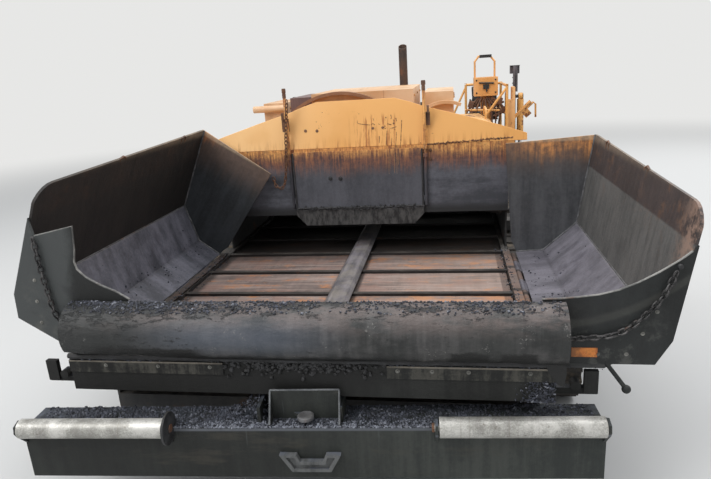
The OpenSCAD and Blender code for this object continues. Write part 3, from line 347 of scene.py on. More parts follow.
def film(dark, light, scale=3.0, streak=None, seed=0.0, dust=0.3, rust=0.0, rough=0.62, grit=0.0025,
         metal=0.0):
    """Recipe: a steel plate under an uneven film of old asphalt."""
    def recipe(g, where):
        value = shades(g, where, scale, streak, seed)
        colour = g.mix(value, dark, light)
        if rust:
            spots = g.noise(g.shift(where, (seed, 3.1, 0)), 5.5, 7, 0.68)
            mask = g.ramp(spots, 0.66 - rust, 0.78 - rust)
            colour = g.mix(mask * 0.75, colour, (98, 62, 40))
        colour = dusted(g, where, colour, dust)
        grain = g.noise(where, 120, 5, 0.75)
        return g.look(colour, value * 0.16 + (rough - 0.08), grain, 0.5, grit, metal)
    return recipe


def paint(base, pale, seed=0.0, dirt=0.45, rust=0.10, grime=(62, 52, 44), streak=(16, 16, 1.3)):
    """Recipe: old yellow paint, bleached in clouds, with runs of dirt and rust specks."""
    def recipe(g, where):
        moved = g.shift(where, (seed, seed, seed))
        colour = g.mix(g.ramp(g.noise(moved, 1.7, 5, 0.55), 0.38, 0.64), base, pale)
        runs = g.noise(moved, streak, 6, 0.7)
        cover = g.ramp(runs, 0.54, 0.74) * dirt
        colour = g.mix(cover, colour, grime)
        specks = g.noise(moved, 23, 6, 0.75)
        patches = g.noise(moved, 2.3, 4, 0.6)
        mask = g.ramp(specks * patches, 0.4 - rust, 0.45 - rust)
        colour = g.mix(mask, colour, (112, 64, 32))
        colour = dusted(g, where, colour, 0.4, (150, 134, 108))
        rough = 0.48 + cover * 0.35
        height = g.noise(where, 60, 3, 0.5) * 0.25 - mask
        return g.look(colour, rough, height, 0.35, 0.0015)
    return recipe


def box_recipe(g, where):
    """Bleached paint on the cover's boxes, a sooty one among them, and browned guard arches."""
    found = paint((196, 150, 106), (218, 184, 148), 9.0, 0.30, 0.06, streak=(5, 5, 1.4))(g, where)
    x, y = g.part(where, "X"), g.part(where, "Y")
    seam = g.band(x, 0.165, 0.171, 0.001)
    colour = g.mix(seam * 0.5, found["Base Color"], (150, 100, 60))
    soot = g.mix(g.noise(where, (60, 4, 3), 5, 0.7), (46, 34, 38), (128, 98, 92))
    box = g.band(x, -0.6, -0.3905, 0.0005) * (y > -0.625)
    colour = g.mix(box, colour, soot)
    guard = (y < -0.7005) * (x < 0.42)
    found["Base Color"] = g.mix(guard, colour, g.mix(g.noise(where, 30, 4), (108, 74, 52), (156, 112, 80)))
    return found


def wing_space(g, where, side):
    """A place in the wing's own frame, and its parts: u from the hinge, y along it and w above it."""
    s, a = SIDES[side], WING_ANGLE[side]
    start = (s * HINGE.x, 0, HINGE.z)
    u = g.along(where, (s * math.cos(a), 0, math.sin(a)), start)
    w = g.along(where, (-s * math.sin(a), 0, math.cos(a)), start)
    y = g.part(where, "Y")
    return g.join(u, y, w), u, y, w


def wing_point(side, u, y, w):
    """The place in the scene of a point given in the wing's own frame."""
    s, a = SIDES[side], WING_ANGLE[side]
    return Vector((s * (HINGE.x + u * math.cos(a) - w * math.sin(a)), y,
                   HINGE.z + u * math.sin(a) + w * math.cos(a)))


def pan_recipe(side):
    """A wing's pan: dark wall, worn sloped floor, and rust that blooms from the corner, with painted shade on
    the raised left wing.
    """
    # The left wing's wall, upper band and floor take darker tones than the right's: painted shade of the
    # raised wing
    wall = {"left": ((20, 18, 18), (34, 31, 29)), "right": ((74, 74, 73), (98, 97, 95))}[side]
    upper = {"left": ((22, 19, 18), (40, 33, 29)), "right": ((48, 42, 42), (66, 57, 56))}[side]
    flat = {"left": ((66, 67, 74), (112, 112, 122)), "right": ((88, 86, 92), (120, 117, 125))}[side]

    def recipe(g, where):
        own, u, y, w = wing_space(g, where, side)
        value = shades(g, own, 3.2, (2.5, 22, 3.0), 2.0 + SIDES[side])
        floor = g.mix(shades(g, own, 4.0, (2.2, 9, 2.0), 7.0), flat[0], flat[1])
        scars = g.ramp(g.noise(own, (3, 46, 5), 5, 0.7), 0.6, 0.74)
        blots = g.ramp(g.noise(own, 5.5, 7, 0.72), 0.5, 0.66)
        floor = g.mix(scars * 0.3, floor, (58, 56, 62))
        floor = g.mix(blots * 0.5, floor, (62, 60, 68))
        colour = g.mix(value, wall[0], wall[1])
        top = g.mix(value, upper[0], upper[1])
        colour = g.mix(g.ramp(w, 0.6, 0.614), colour, top)
        # Brown rust that spreads from the front corner and the upper edge
        edge = w - (y + 1.19) * 0.02
        reach = g.ramp(edge, 0.45, 0.8) + g.ramp(y, -2.35, -3.05)
        bloom = g.noise(g.stretch(own, (4, 5, 4)), 1.9, 8, 0.74)
        mask = g.ramp(bloom, 0.52, 0.68) * g.clamp(reach)
        # The left wing's rust is weaker and darker: painted shade
        colour = g.mix(mask * (0.5 if side == "right" else 0.4), colour,
                       (118, 84, 60) if side == "right" else (70, 48, 36))
        if side == "right":
            tip = g.ramp(y, -2.74, -2.96) * g.ramp(w, 0.3, 0.48)
            patches = g.ramp(g.noise(own, 16, 6, 0.75), 0.4, 0.6)
            colour = g.mix(tip * (patches * 0.8), colour, (158, 130, 114))
        worn = g.ramp(w, 0.745, 0.8) * g.noise(own, 14, 5, 0.7)
        colour = g.mix(worn, colour, (150, 132, 112))
        # The sloped floor ends where the wall starts, along a bright line of wear
        sloped = w < 0.221 + g.noise(own, 30, 3) * 0.004
        colour = g.mix(sloped, colour, floor)
        line = g.band(w, 0.216, 0.226, 0.003)
        colour = g.mix(line * 0.5, colour, (140, 138, 136))
        crease = g.band(u, 0.196, 0.214, 0.01) * (w < 0.05)
        colour = g.mix(crease * 0.35, colour, (50, 48, 52))
        grain = g.noise(own, 150, 4, 0.7) + g.noise(own, 22, 5, 0.6) * 1.5
        rough = g.blend(sloped, 0.62, 0.46)
        return g.look(colour, rough, grain, 0.45, 0.004)
    return recipe


def rear_recipe(side):
    """A wing's rear plate: brown and sooty towards its upper corner, and darker on the raised left wing by
    painted shade.
    """
    def recipe(g, where):
        own, u, y, w = wing_space(g, where, side)
        value = shades(g, own, 2.6, (14, 14, 1.4), 11.0 + SIDES[side])
        # The left plate's darker tones are painted shade of the raised wing
        low, high = ((40, 43, 46), (62, 66, 70)) if side == "left" else ((58, 59, 62), (86, 87, 90))
        colour = g.mix(value, low, high)
        drip = g.noise(own, (26, 26, 2.2), 6, 0.7)
        depth = w + (drip - 0.5) * 0.18
        brown = g.ramp(depth, 0.5, 0.78)
        colour = g.mix(brown * 0.85, colour, g.mix(g.noise(own, 24, 5, 0.7), (62, 50, 44), (128, 104, 90)))
        if side == "right":
            corner = g.ramp(depth, 0.62, 0.78) * g.ramp(u, -0.18, 0.26)
            sooty = g.ramp(g.noise(own, 7, 6, 0.7), 0.64, 0.44)
            corner = corner * (0.35 + sooty * 0.65)
            fine = g.ramp(drip * 0.55 + g.noise(own, 30, 6, 0.75) * 0.45, 0.38, 0.62)
            colour = g.mix(corner, colour, g.mix(fine, (104, 74, 60), (226, 156, 92)))
        else:
            corner = g.ramp(depth, 0.72, 0.84) * g.ramp(u, 0.34, 0.46)
            colour = g.mix(corner, colour, (190, 120, 74))
        pale = g.ramp(w, 0.768, 0.786) * g.noise(own, 36, 4, 0.7)
        colour = g.mix(pale, colour, (196, 172, 142))
        grain = g.noise(own, 140, 5, 0.72)
        return g.look(colour, 0.6, grain)
    return recipe


def front_recipe(side):
    """A wing's front plate: oily black, paler where it rubs and beyond the left plate's bend, with painted
    shade where it bends back and a painted highlight along the right plate's curl.
    """
    def recipe(g, where):
        own, u, y, w = wing_space(g, where, side)
        value = shades(g, own, 3.0, (9, 9, 1.5), 19.0 + SIDES[side])
        colour = g.mix(value, (14, 17, 17), (32, 35, 35))
        if side == "left":
            # The plate bends back towards the hinge, where it is darkened by painted shade; beyond the bend
            # it takes a paler tone
            bend = u - w * 0.42 + value * 0.03
            pale = g.ramp(bend, 0.02, 0.085)
            colour = g.mix(pale * 0.9, g.mix(0.6, colour, (8, 9, 9)), (64, 67, 67))
        else:
            # Painted shade in the curl by the hinge, and a painted highlight along the curl's lip
            hollow = w - (0.27 + g.math("MAXIMUM", u, 0.0) ** 2.0 * 0.85)
            hollow = g.ramp(hollow, 0.06, -0.02)
            painted_curl_shade = g.ramp(u, 0.17, 0.03)
            colour = g.mix(painted_curl_shade * (1.0 - hollow) * 0.95, colour, (6, 7, 7))
            edge = g.band(hollow, 0.2, 0.8, 0.15) * 0.5
            colour = g.mix(edge, colour, (66, 66, 62))
        low = g.ramp(g.noise(own, 9, 7, 0.75), 0.5, 0.62) * g.ramp(w, 0.42, 0.15)
        colour = g.mix(low * 0.55, colour, (84, 84, 80))
        oily = g.ramp(g.noise(own, (3, 3, 6), 4, 0.6), 0.54, 0.66)
        colour = g.mix(oily * 0.5, colour, (30, 31, 33))
        grain = g.noise(own, 120, 5, 0.72)
        return g.look(colour, 0.66, grain)
    return recipe


def scorched(g, where, colour, start, end, seed):
    """Rust that runs down from the crease and turns to charcoal."""
    z = g.part(where, "Z")
    moved = g.shift(where, (seed, 0, 0))
    fine = g.noise(moved, (70, 3, 5), 5, 0.75)
    broad = g.noise(moved, (5, 1, 1.5), 4, 0.6)
    shift = (fine - 0.5) * 0.1 + (broad - 0.5) * 0.14
    depth = z + shift
    hot = g.ramp(depth, start, start + 0.09)
    warm = g.ramp(depth, end, start + 0.02)
    crisp = g.ramp(fine * 0.6 + g.noise(where, 40, 5, 0.75) * 0.4, 0.36, 0.64)
    brown = g.mix(crisp, (72, 56, 58), (150, 98, 70))
    orange = g.mix(crisp, (152, 88, 52), (242, 180, 104))
    colour = g.mix(warm, colour, brown)
    colour = g.mix(hot, colour, orange)
    soot = g.ramp(g.noise(where, 9, 6, 0.7), 0.52, 0.66) * (warm * 0.55)
    return g.mix(soot, colour, (70, 56, 58))


def bulkhead_recipe(g, where):
    """The bulkhead: grey, scorched below the hood."""
    colour = g.mix(shades(g, where, 3.0, (2, 2, 14), 4.0), (62, 64, 70), (98, 99, 107))
    colour = scorched(g, where, colour, 1.325, 1.22, 3.0)
    low = g.ramp(g.part(where, "Z"), 1.03, 0.96)
    colour = g.mix(low, colour, (40, 41, 43))
    return g.look(colour, 0.6, g.noise(where, 130, 5, 0.7))


def gate_recipe(g, where):
    """The flow gate: grey, scorched at the top, tarred along its lip."""
    x, z = g.part(where, "X"), g.part(where, "Z")
    colour = g.mix(shades(g, where, 3.4, (9, 9, 1.2), 8.0), (64, 65, 71), (88, 89, 96))
    colour = scorched(g, where, colour, 1.345, 1.20, 0.0)
    wavy = z + g.noise(where, 12, 4) * 0.02
    lip = g.ramp(wavy, 1.0, 0.985)
    tar = g.mix(g.ramp(g.noise(g.stretch(where, (1, 1, 0.35)), 24, 6, 0.75), 0.38, 0.62), (26, 26, 28),
                (80, 79, 78))
    colour = g.mix(lip, colour, tar)
    ridge = g.band(wavy, 0.992, 1.006, 0.004)
    colour = g.mix(ridge * 0.6, colour, g.mix(g.ramp(x, -0.05, 0.15), (34, 34, 38), (116, 116, 120)))
    grain = g.noise(where, 130, 5, 0.7) + lip * g.noise(where, 30, 4)
    return g.look(colour, 0.58, grain, 0.55, 0.004)


def hood_recipe(g, where):
    """The hood: bleached orange paint with rust runs and specks."""
    x, z = g.part(where, "X"), g.part(where, "Z")
    clouds = g.noise(where, 1.4, 5, 0.5)
    side = g.ramp(x + clouds * 0.5, 0.35, -0.75)
    colour = g.mix(side, (232, 171, 98), (240, 192, 130))
    colour = g.mix(g.ramp(clouds, 0.5, 0.66) * 0.5, colour, (212, 148, 70))
    runs = g.noise(where, (34, 2, 2.0), 6, 0.72)
    middle = g.band(x, -0.02, 0.3, 0.05) * g.ramp(z, 1.66, 1.6)
    drips = g.ramp(runs, 0.52, 0.6) * middle
    colour = g.mix(drips * 0.75, colour, (158, 88, 34))
    low = g.ramp(runs, 0.46, 0.66) * g.ramp(z, 1.52, 1.42)
    colour = g.mix(low * 0.6, colour, (176, 104, 44))
    dark = g.ramp(runs, 0.56, 0.68) * g.ramp(z, 1.5, 1.42)
    colour = g.mix(dark * 0.8, colour, (96, 60, 40))
    specks = g.noise(where, 70, 3, 0.7) * g.noise(where, 4, 4, 0.6)
    colour = g.mix(g.ramp(specks, 0.395, 0.42), colour, (120, 66, 30))
    bump = g.noise(where, 3.0, 3, 0.4) + g.noise(where, 90, 3, 0.6) * 0.05
    return g.look(colour, 0.5, bump, 0.25, 0.02)


def floor_recipe(g, where):
    """The hopper's floor: brown wear, rust blooms, tar and painted shade at the slats and sides, and painted
    shade in the tunnel.
    """
    x, y = g.part(where, "X"), g.part(where, "Y")
    # Each plate between two slats has its own shade
    plate = g.math("FLOOR", (y + 1.175) / SLAT_PITCH)
    own = g.chance(g.join(g.math("SIGN", x), plate, 1.7))
    grain = g.noise(where, (1.6, 26, 1), 7, 0.72)
    drag = g.noise(where, (23, 2.2, 1), 5, 0.7)
    value = g.ramp(grain * 0.82 + drag * 0.18, 0.36, 0.64)
    colour = g.mix(value, (86, 75, 71), (152, 134, 126))
    pink = g.noise(g.stretch(where, (3, 5, 1)), 1.3, 5, 0.6)
    colour = g.mix(g.ramp(pink, 0.46, 0.62) * 0.55, colour, (136, 104, 92))
    bloom = g.noise(g.stretch(where, (3.2, 8, 1)), 1.5, 7, 0.74)
    lift = bloom + (own - 0.5) * 0.16
    lift = lift + g.ramp(x, 0.0, 0.5) * 0.05
    colour = g.mix(g.ramp(lift, 0.55, 0.7) * 0.75, colour, (180, 116, 62))
    colour = speckled(g, where, colour, (52, 40, 36), 60, 0.03, 0.8)
    scale = g.ramp(g.noise(where, 34, 6, 0.8), 0.6, 0.68)
    colour = g.mix(scale * 0.5, colour, (204, 190, 178))
    # Tar along the slats, the middle cover and the wings, darkened further by painted shade
    nearest = abs(g.math("FRACT", (y + 1.3735) / SLAT_PITCH) - 0.5)
    slats = g.ramp(nearest + g.noise(where, 22, 4) * 0.03, 0.075, 0.055)
    sides = g.ramp(g.noise(where, 9, 5) * 0.06 - x, 0.955, 0.995)
    middle = g.ramp(abs(x), 0.1, 0.076)
    tar = g.math("MAXIMUM", g.math("MAXIMUM", slats, sides), middle)
    colour = g.mix(g.ramp(x, 0.0, 0.5) * 0.18, colour, (196, 172, 156))
    verge = g.ramp(x, 0.95, 0.958) * 0.6
    colour = g.mix(verge, colour, (70, 58, 54))
    colour = g.mix(tar * 0.8, colour, (40, 35, 33))
    # Painted shade: the floor turns near black inside the tunnel under the bulkhead
    inside = g.ramp(y, -1.42, -1.06)
    colour = g.mix(inside * 0.95, colour, (10, 10, 10))
    height = value + g.noise(where, 120, 4, 0.7) * 0.5
    return g.look(colour, 0.58, height, 0.5, 0.004)


def apron_recipe(g, where):
    """The apron: black film, paler where trucks rub, with a painted sheen, and torn tar and painted shade
    below.
    """
    x, z = g.part(where, "X"), g.part(where, "Z")
    up = g.facing()
    value = shades(g, where, 3.0, (26, 2, 2), 31.0)
    colour = g.mix(value, (20, 22, 22), (44, 45, 44))
    # Paler and browner in the middle and at the right end, where the truck's tail rubs
    rub = g.band(x, -0.62, 0.72, 0.28) * 0.8 + g.ramp(x, 0.8, 1.08) * 0.9
    rub = rub * g.ramp(g.noise(g.stretch(where, (2.5, 5, 5)), 1.6, 6, 0.62), 0.36, 0.6)
    colour = g.mix(g.clamp(rub), colour, g.mix(value, (54, 53, 53), (88, 86, 85)))
    brown = g.ramp(up, 0.1, 0.75) * g.ramp(g.noise(g.stretch(where, (1.6, 4, 4)), 2.0, 6, 0.7), 0.4, 0.58)
    colour = g.mix(brown * 0.7, colour, (100, 88, 84))
    # Painted sheen: a bluish reflection on the upper middle
    painted_sheen = g.band(z, 0.85, 0.97, 0.05) * g.band(x, -0.62, 0.1, 0.22)
    colour = g.mix(painted_sheen * 0.5, colour, (88, 95, 108))
    patchy = g.noise(g.stretch(where, (4, 11, 11)), 2.4, 7, 0.8)
    left = g.ramp(x, -0.25, -0.7) * 0.1
    tar = g.ramp(patchy + left + g.ramp(up, 0.5, 1.0) * 0.12, 0.62, 0.68)
    colour = g.mix(tar, colour, (26, 27, 29))
    colour = g.mix(g.ramp(x, -0.25, -0.9) * 0.7, colour, (28, 30, 30))
    colour = speckled(g, where, colour, (132, 130, 126), 90, 0.02, 0.6)
    # Painted shade and torn tar: the round apron turns near black on its lower part, higher where it is torn
    ragged = z + (g.noise(where, 14, 6, 0.75) - 0.5) * 0.06
    torn = g.band(x, -0.92, -0.4, 0.05) + g.band(x, 0.655, 0.802, 0.012) + g.band(x, 0.848, 0.988, 0.012)
    low = g.ramp(ragged, 0.872, 0.856) * torn
    painted_underside_shade = g.ramp(ragged, 0.835, 0.805)
    colour = g.mix(g.clamp(low + painted_underside_shade), colour, (12, 12, 12))
    height = g.noise(where, 110, 5, 0.75) + tar * 2.5
    height = height + g.noise(g.stretch(where, (2, 5, 5)), 3.0, 3) * 4.0
    return g.look(colour, 0.52, height, 0.55, 0.004)


def nose_recipe(g, where):
    """The nose panel: near black, with a pale clamping strip."""
    x, z = g.part(where, "X"), g.part(where, "Z")
    value = shades(g, where, 3.2, (18, 2, 2), 51.0)
    colour = g.mix(value, (10, 10, 9), (20, 20, 19))
    right = g.mix(value, (17, 18, 17), (36, 37, 35))
    colour = g.mix(g.ramp(x, 0.0, 0.45), colour, right)
    strip = g.band(z, 0.704, 0.766, 0.002) * (g.part(where, "Y") < -3.0505)
    colour = g.mix(strip * g.ramp(value, 0.1, 0.9), colour, (70, 68, 62))
    rim = g.band(z, 0.757, 0.768, 0.003) * g.noise(where, 20, 5, 0.7)
    colour = g.mix(strip * rim * 1.3, colour, (140, 132, 120))
    # Painted shade and tar in the middle under the apron
    hung = g.band(x, -0.34, 0.4, 0.1) * g.ramp(z, 0.64, 0.71)
    colour = g.mix(hung * 0.85, colour, (12, 12, 12))
    colour = dusted(g, where, colour, 0.35, (60, 64, 74))
    height = g.noise(where, 120, 5, 0.75) + g.noise(where, 16, 5, 0.7) * 1.2
    return g.look(colour, 0.74, height, 0.5, 0.0035)


def beam_recipe(g, where):
    """The push beam: dark film, paler to the right and at its upper edge."""
    x, z = g.part(where, "X"), g.part(where, "Z")
    value = shades(g, where, 3.0, (24, 2, 1.6), 41.0)
    colour = g.mix(value, (12, 15, 13), (28, 31, 28))
    pale = g.mix(value, (36, 41, 39), (60, 63, 59))
    colour = g.mix(g.ramp(x, -0.35, 0.85), colour, pale)
    fade = g.ramp(g.noise(where, (2, 2, 9), 5, 0.7), 0.55, 0.7) * 0.4
    colour = g.mix(fade, colour, (66, 61, 52))
    drip = g.ramp(g.noise(where, (40, 2, 1.5), 5, 0.7), 0.6, 0.72) * g.ramp(z, 0.38, 0.52)
    colour = g.mix(drip * 0.5, colour, (88, 92, 94))
    rim = g.band(z, 0.503, 0.52, 0.004) * (g.facing() < 0.5)
    colour = g.mix(rim * 0.8, colour, (96, 99, 106))
    # The towing bracket on the face is worn pale
    hook = (g.part(where, "Y") - x * 0.0673 < -3.1512) * (z < 0.41)
    hook = hook * (abs(x - 0.03) < 0.16)
    colour = g.mix(hook * g.ramp(value, -0.6, 0.9), colour, (96, 97, 97))
    colour = dusted(g, where, colour, 0.8, (88, 93, 104))
    return g.look(colour, 0.68, g.noise(where, 120, 5, 0.7))


def roller_recipe(g, where):
    """The push rollers: pale zinc with rust spots and rings."""
    value = shades(g, where, 9.0, None, 3.0)
    colour = g.mix(value, (140, 138, 132), (202, 200, 194))
    spots = g.ramp(g.noise(g.stretch(where, (1, 2, 2)), 30, 6, 0.8), 0.58, 0.68)
    colour = g.mix(spots * 0.75, colour, (98, 88, 76))
    rings = g.ramp(g.noise(where, (60, 0.2, 0.2), 3, 0.7), 0.6, 0.7)
    colour = g.mix(rings * 0.35, colour, (120, 112, 100))
    return g.look(colour, 0.42, g.noise(where, 90, 4, 0.7), 0.4, 0.002, metal=0.35)


def bare_steel(dark, light, rough=0.4, metal=0.7):
    """Recipe: plain steel, polished by use."""
    def recipe(g, where):
        value = shades(g, where, 12.0, None, 5.0)
        colour = g.mix(value, dark, light)
        grain = g.noise(where, 160, 3, 0.6)
        return g.look(colour, value * 0.16 + (rough - 0.08), grain, 0.3, 0.001, metal)
    return recipe


def rubber_recipe(g, where):
    """Track rubber with dried mud."""
    value = shades(g, where, 6.0, None, 9.0)
    colour = g.mix(value, (32, 31, 30), (58, 54, 50))
    mud = g.ramp(g.noise(where, 7, 7, 0.7), 0.5, 0.68)
    colour = g.mix(mud * 0.7, colour, (112, 98, 80))
    return g.look(colour, 0.82, g.noise(where, 70, 6, 0.75), 0.6, 0.004)


def crumb_recipe(dark, light):
    """Recipe: crumbs of asphalt, each with its own tone, a few with a painted glint."""
    def recipe(g, where):
        own = g.cells(where, 70)
        colour = g.mix(g.part(own, "X"), dark, light)
        glint = g.ramp(g.part(own, "Y"), 0.9, 0.97)
        colour = g.mix(glint, colour, (120, 122, 130))
        return g.look(colour, 0.66)
    return recipe


for side in SIDES:
    coat("wing_plate_" + side, pan_recipe(side), "wing_pan_" + side)
    coat("wing_rear_plate_" + side, rear_recipe(side), "wing_rear_" + side)
    coat("wing_front_plate_" + side, front_recipe(side), "wing_front_" + side)
coat("hopper_floor_worn", floor_recipe, "hopper_floor")
coat("bulkhead_scorched", bulkhead_recipe, "bulkhead")
coat("gate_tarred", gate_recipe, "flow_gate")
coat("hood_paint", hood_recipe, "bulkhead_hood")
coat("apron_film", apron_recipe, "apron")
coat("nose_film", nose_recipe, "nose_panel")
coat("beam_film", beam_recipe, "push_beam")
coat("roller_zinc", roller_recipe, *both("push_roller"))
coat("slat_steel",
     film((20, 18, 18), (46, 40, 38), scale=5.0, streak=(3, 30, 3), seed=61.0, dust=0.2, rust=0.06),
     *both("conveyor"))
coat("divider_steel",
     film((64, 62, 66), (118, 113, 118), scale=5.0, streak=(20, 2, 20), seed=63.0, dust=0.6, rust=0.05),
     "conveyor_divider")
YELLOW = coat("body_paint", paint((212, 150, 74), (232, 180, 112), seed=3.0), "engine_cover",
              *both("engine_door"), "deck_rails")
coat("console_paint",
     paint((214, 152, 84), (236, 186, 130), seed=5.0, dirt=0.3, rust=0.035, streak=(5, 5, 1.4)),
     "operator_console")
coat("box_paint", box_recipe, "cover_boxes")
coat("arm_paint", paint((200, 138, 62), (222, 166, 92), seed=14.0, dirt=0.6, rust=0.12),
     *both("tow_arm"), *both("lift_barrel"))
coat("sooty_cylinder", film((22, 20, 19), (50, 44, 38), scale=9.0, seed=73.0, rust=0.1),
     *both("wing_barrel"))
coat("tarred_rod", bare_steel((40, 39, 38), (74, 72, 70), rough=0.45, metal=0.4), *both("wing_rod"))
coat("rod_chrome", bare_steel((170, 170, 172), (214, 214, 216), rough=0.22, metal=0.95), *both("lift_rod"))
DARK = coat("frame_film",
            film((40, 40, 42), (72, 70, 68), scale=2.6, streak=(3, 3, 1), seed=71.0, dust=0.45, rust=0.08),
            "main_frame", "operator_deck", "boarding_steps", *both("track_frame"),
            "auger_drive_case")
coat("screed_film",
     film((42, 42, 44), (78, 76, 74), scale=2.4, streak=(2, 2, 9), seed=77.0, dust=0.55, rust=0.09),
     "screed_body", "screed_walkway", *both("extender"))
coat("auger_worn",
     film((70, 66, 62), (124, 118, 112), scale=7.0, streak=(12, 12, 12), seed=81.0, dust=0.1, rust=0.12,
          rough=0.42, grit=0.0015, metal=0.5), *both("auger"))
BLACK = coat("soot_black", film((24, 24, 25), (46, 45, 44), scale=5.0, seed=83.0, dust=0.35, rust=0.08),
             "radiator_grille", "engine_block")
coat("lamp_grey",
     film((44, 42, 46), (112, 106, 110), scale=8.0, streak=(40, 40, 1.5), seed=89.0, rust=0.05),
     "work_lamp")
coat("exhaust_rust",
     film((44, 36, 32), (86, 62, 48), scale=9.0, streak=(9, 9, 3), seed=87.0, dust=0.2, rust=0.16,
          rough=0.75), "exhaust_stack")
coat("track_rubber", rubber_recipe, *both("track"))
VINYL = coat("seat_vinyl",
             film((26, 26, 27), (44, 43, 42), scale=7.0, seed=91.0, dust=0.25, rough=0.5,
                  grit=0.0012), *both("seat"))
CRUMB = coat("asphalt_crumbs", crumb_recipe((26, 27, 32), (68, 71, 82)))
# The beam's crumbs are a paler copy of the asphalt crumbs: painted light where the beam's rear band lies in
# shade
BEAM_CRUMB_PAINTED_LIGHT = coat("beam_crumbs_painted_light", crumb_recipe((36, 37, 43), (90, 93, 104)))
PALE_CRUMB = coat("dusty_crumbs", crumb_recipe((76, 78, 86), (146, 150, 160)))
LIP = coat("worn_lip",
           film((78, 80, 83), (120, 122, 124), scale=9.0, seed=108.0, dust=0.2, rust=0.05, rough=0.6,
                grit=0.002))
RUSTY = coat("rusty_steel",
             film((70, 50, 40), (128, 92, 68), scale=14.0, seed=101.0, dust=0.2, rust=0.2, rough=0.7))
CHAIN = coat("chain_steel",
             film((30, 30, 31), (92, 90, 90), scale=30.0, seed=103.0, dust=0.2, rust=0.1, rough=0.45,
                  grit=0.001, metal=0.5))
GALV = coat("bright_bolt", bare_steel((92, 92, 88), (146, 144, 138), rough=0.5, metal=0.4))
RIM = coat("worn_rim",
           film((76, 76, 74), (136, 134, 130), scale=9.0, streak=(9, 9, 9), seed=107.0, dust=0.2, rust=0.08,
                rough=0.5, grit=0.002))
WELD = coat("weld_bead",
            film((66, 66, 68), (106, 106, 108), scale=26.0, seed=109.0, dust=0.2, rust=0.08, rough=0.55,
                 grit=0.002))
TAR = coat("tar_buildup",
           film((26, 26, 27), (56, 56, 58), scale=20.0, seed=113.0, dust=0.2, rough=0.6,
                grit=0.004))
DECAL = coat("bare_orange_strip",
             film((196, 104, 36), (232, 146, 66), scale=18.0, streak=(14, 2, 14), seed=115.0, dust=0.1,
                  rust=0.16, rough=0.5, grit=0.001))
ENGINE_DARK = coat("engine_cast",
                   film((30, 31, 33), (58, 58, 58), scale=8.0, seed=121.0, rust=0.12, rough=0.5,
                        grit=0.002, metal=0.3))
LENS = {
    "clear": coat("lamp_glass", film((176, 180, 184), (214, 218, 222), scale=40.0, seed=131.0, dust=0.1,
                                     rough=0.12, grit=0.0006)),
    "red": coat("tail_lens", film((128, 20, 16), (168, 34, 26), scale=40.0, seed=133.0, dust=0.2, rough=0.2,
                                  grit=0.0006)),
    "amber": coat("amber_lens", film((196, 104, 24), (226, 140, 44), scale=40.0, seed=135.0, dust=0.2,
                                     rough=0.2, grit=0.0006)),
}
DIAL = coat("dial_face",
            film((196, 194, 186), (226, 224, 216), scale=60.0, seed=137.0, dust=0.1, rough=0.4,
                 grit=0.0004))
STEPS = coat("worn_tread",
             film((64, 64, 66), (132, 130, 126), scale=24.0, seed=139.0, rust=0.14, rough=0.5,
                  grit=0.002, metal=0.3))
DIRTY_YELLOW = coat("grimy_yellow", paint((186, 128, 58), (212, 158, 92), seed=21.0, dirt=0.8, rust=0.14))
PALE_RUN = coat("pale_run", film((168, 124, 78), (206, 164, 112), scale=12.0))


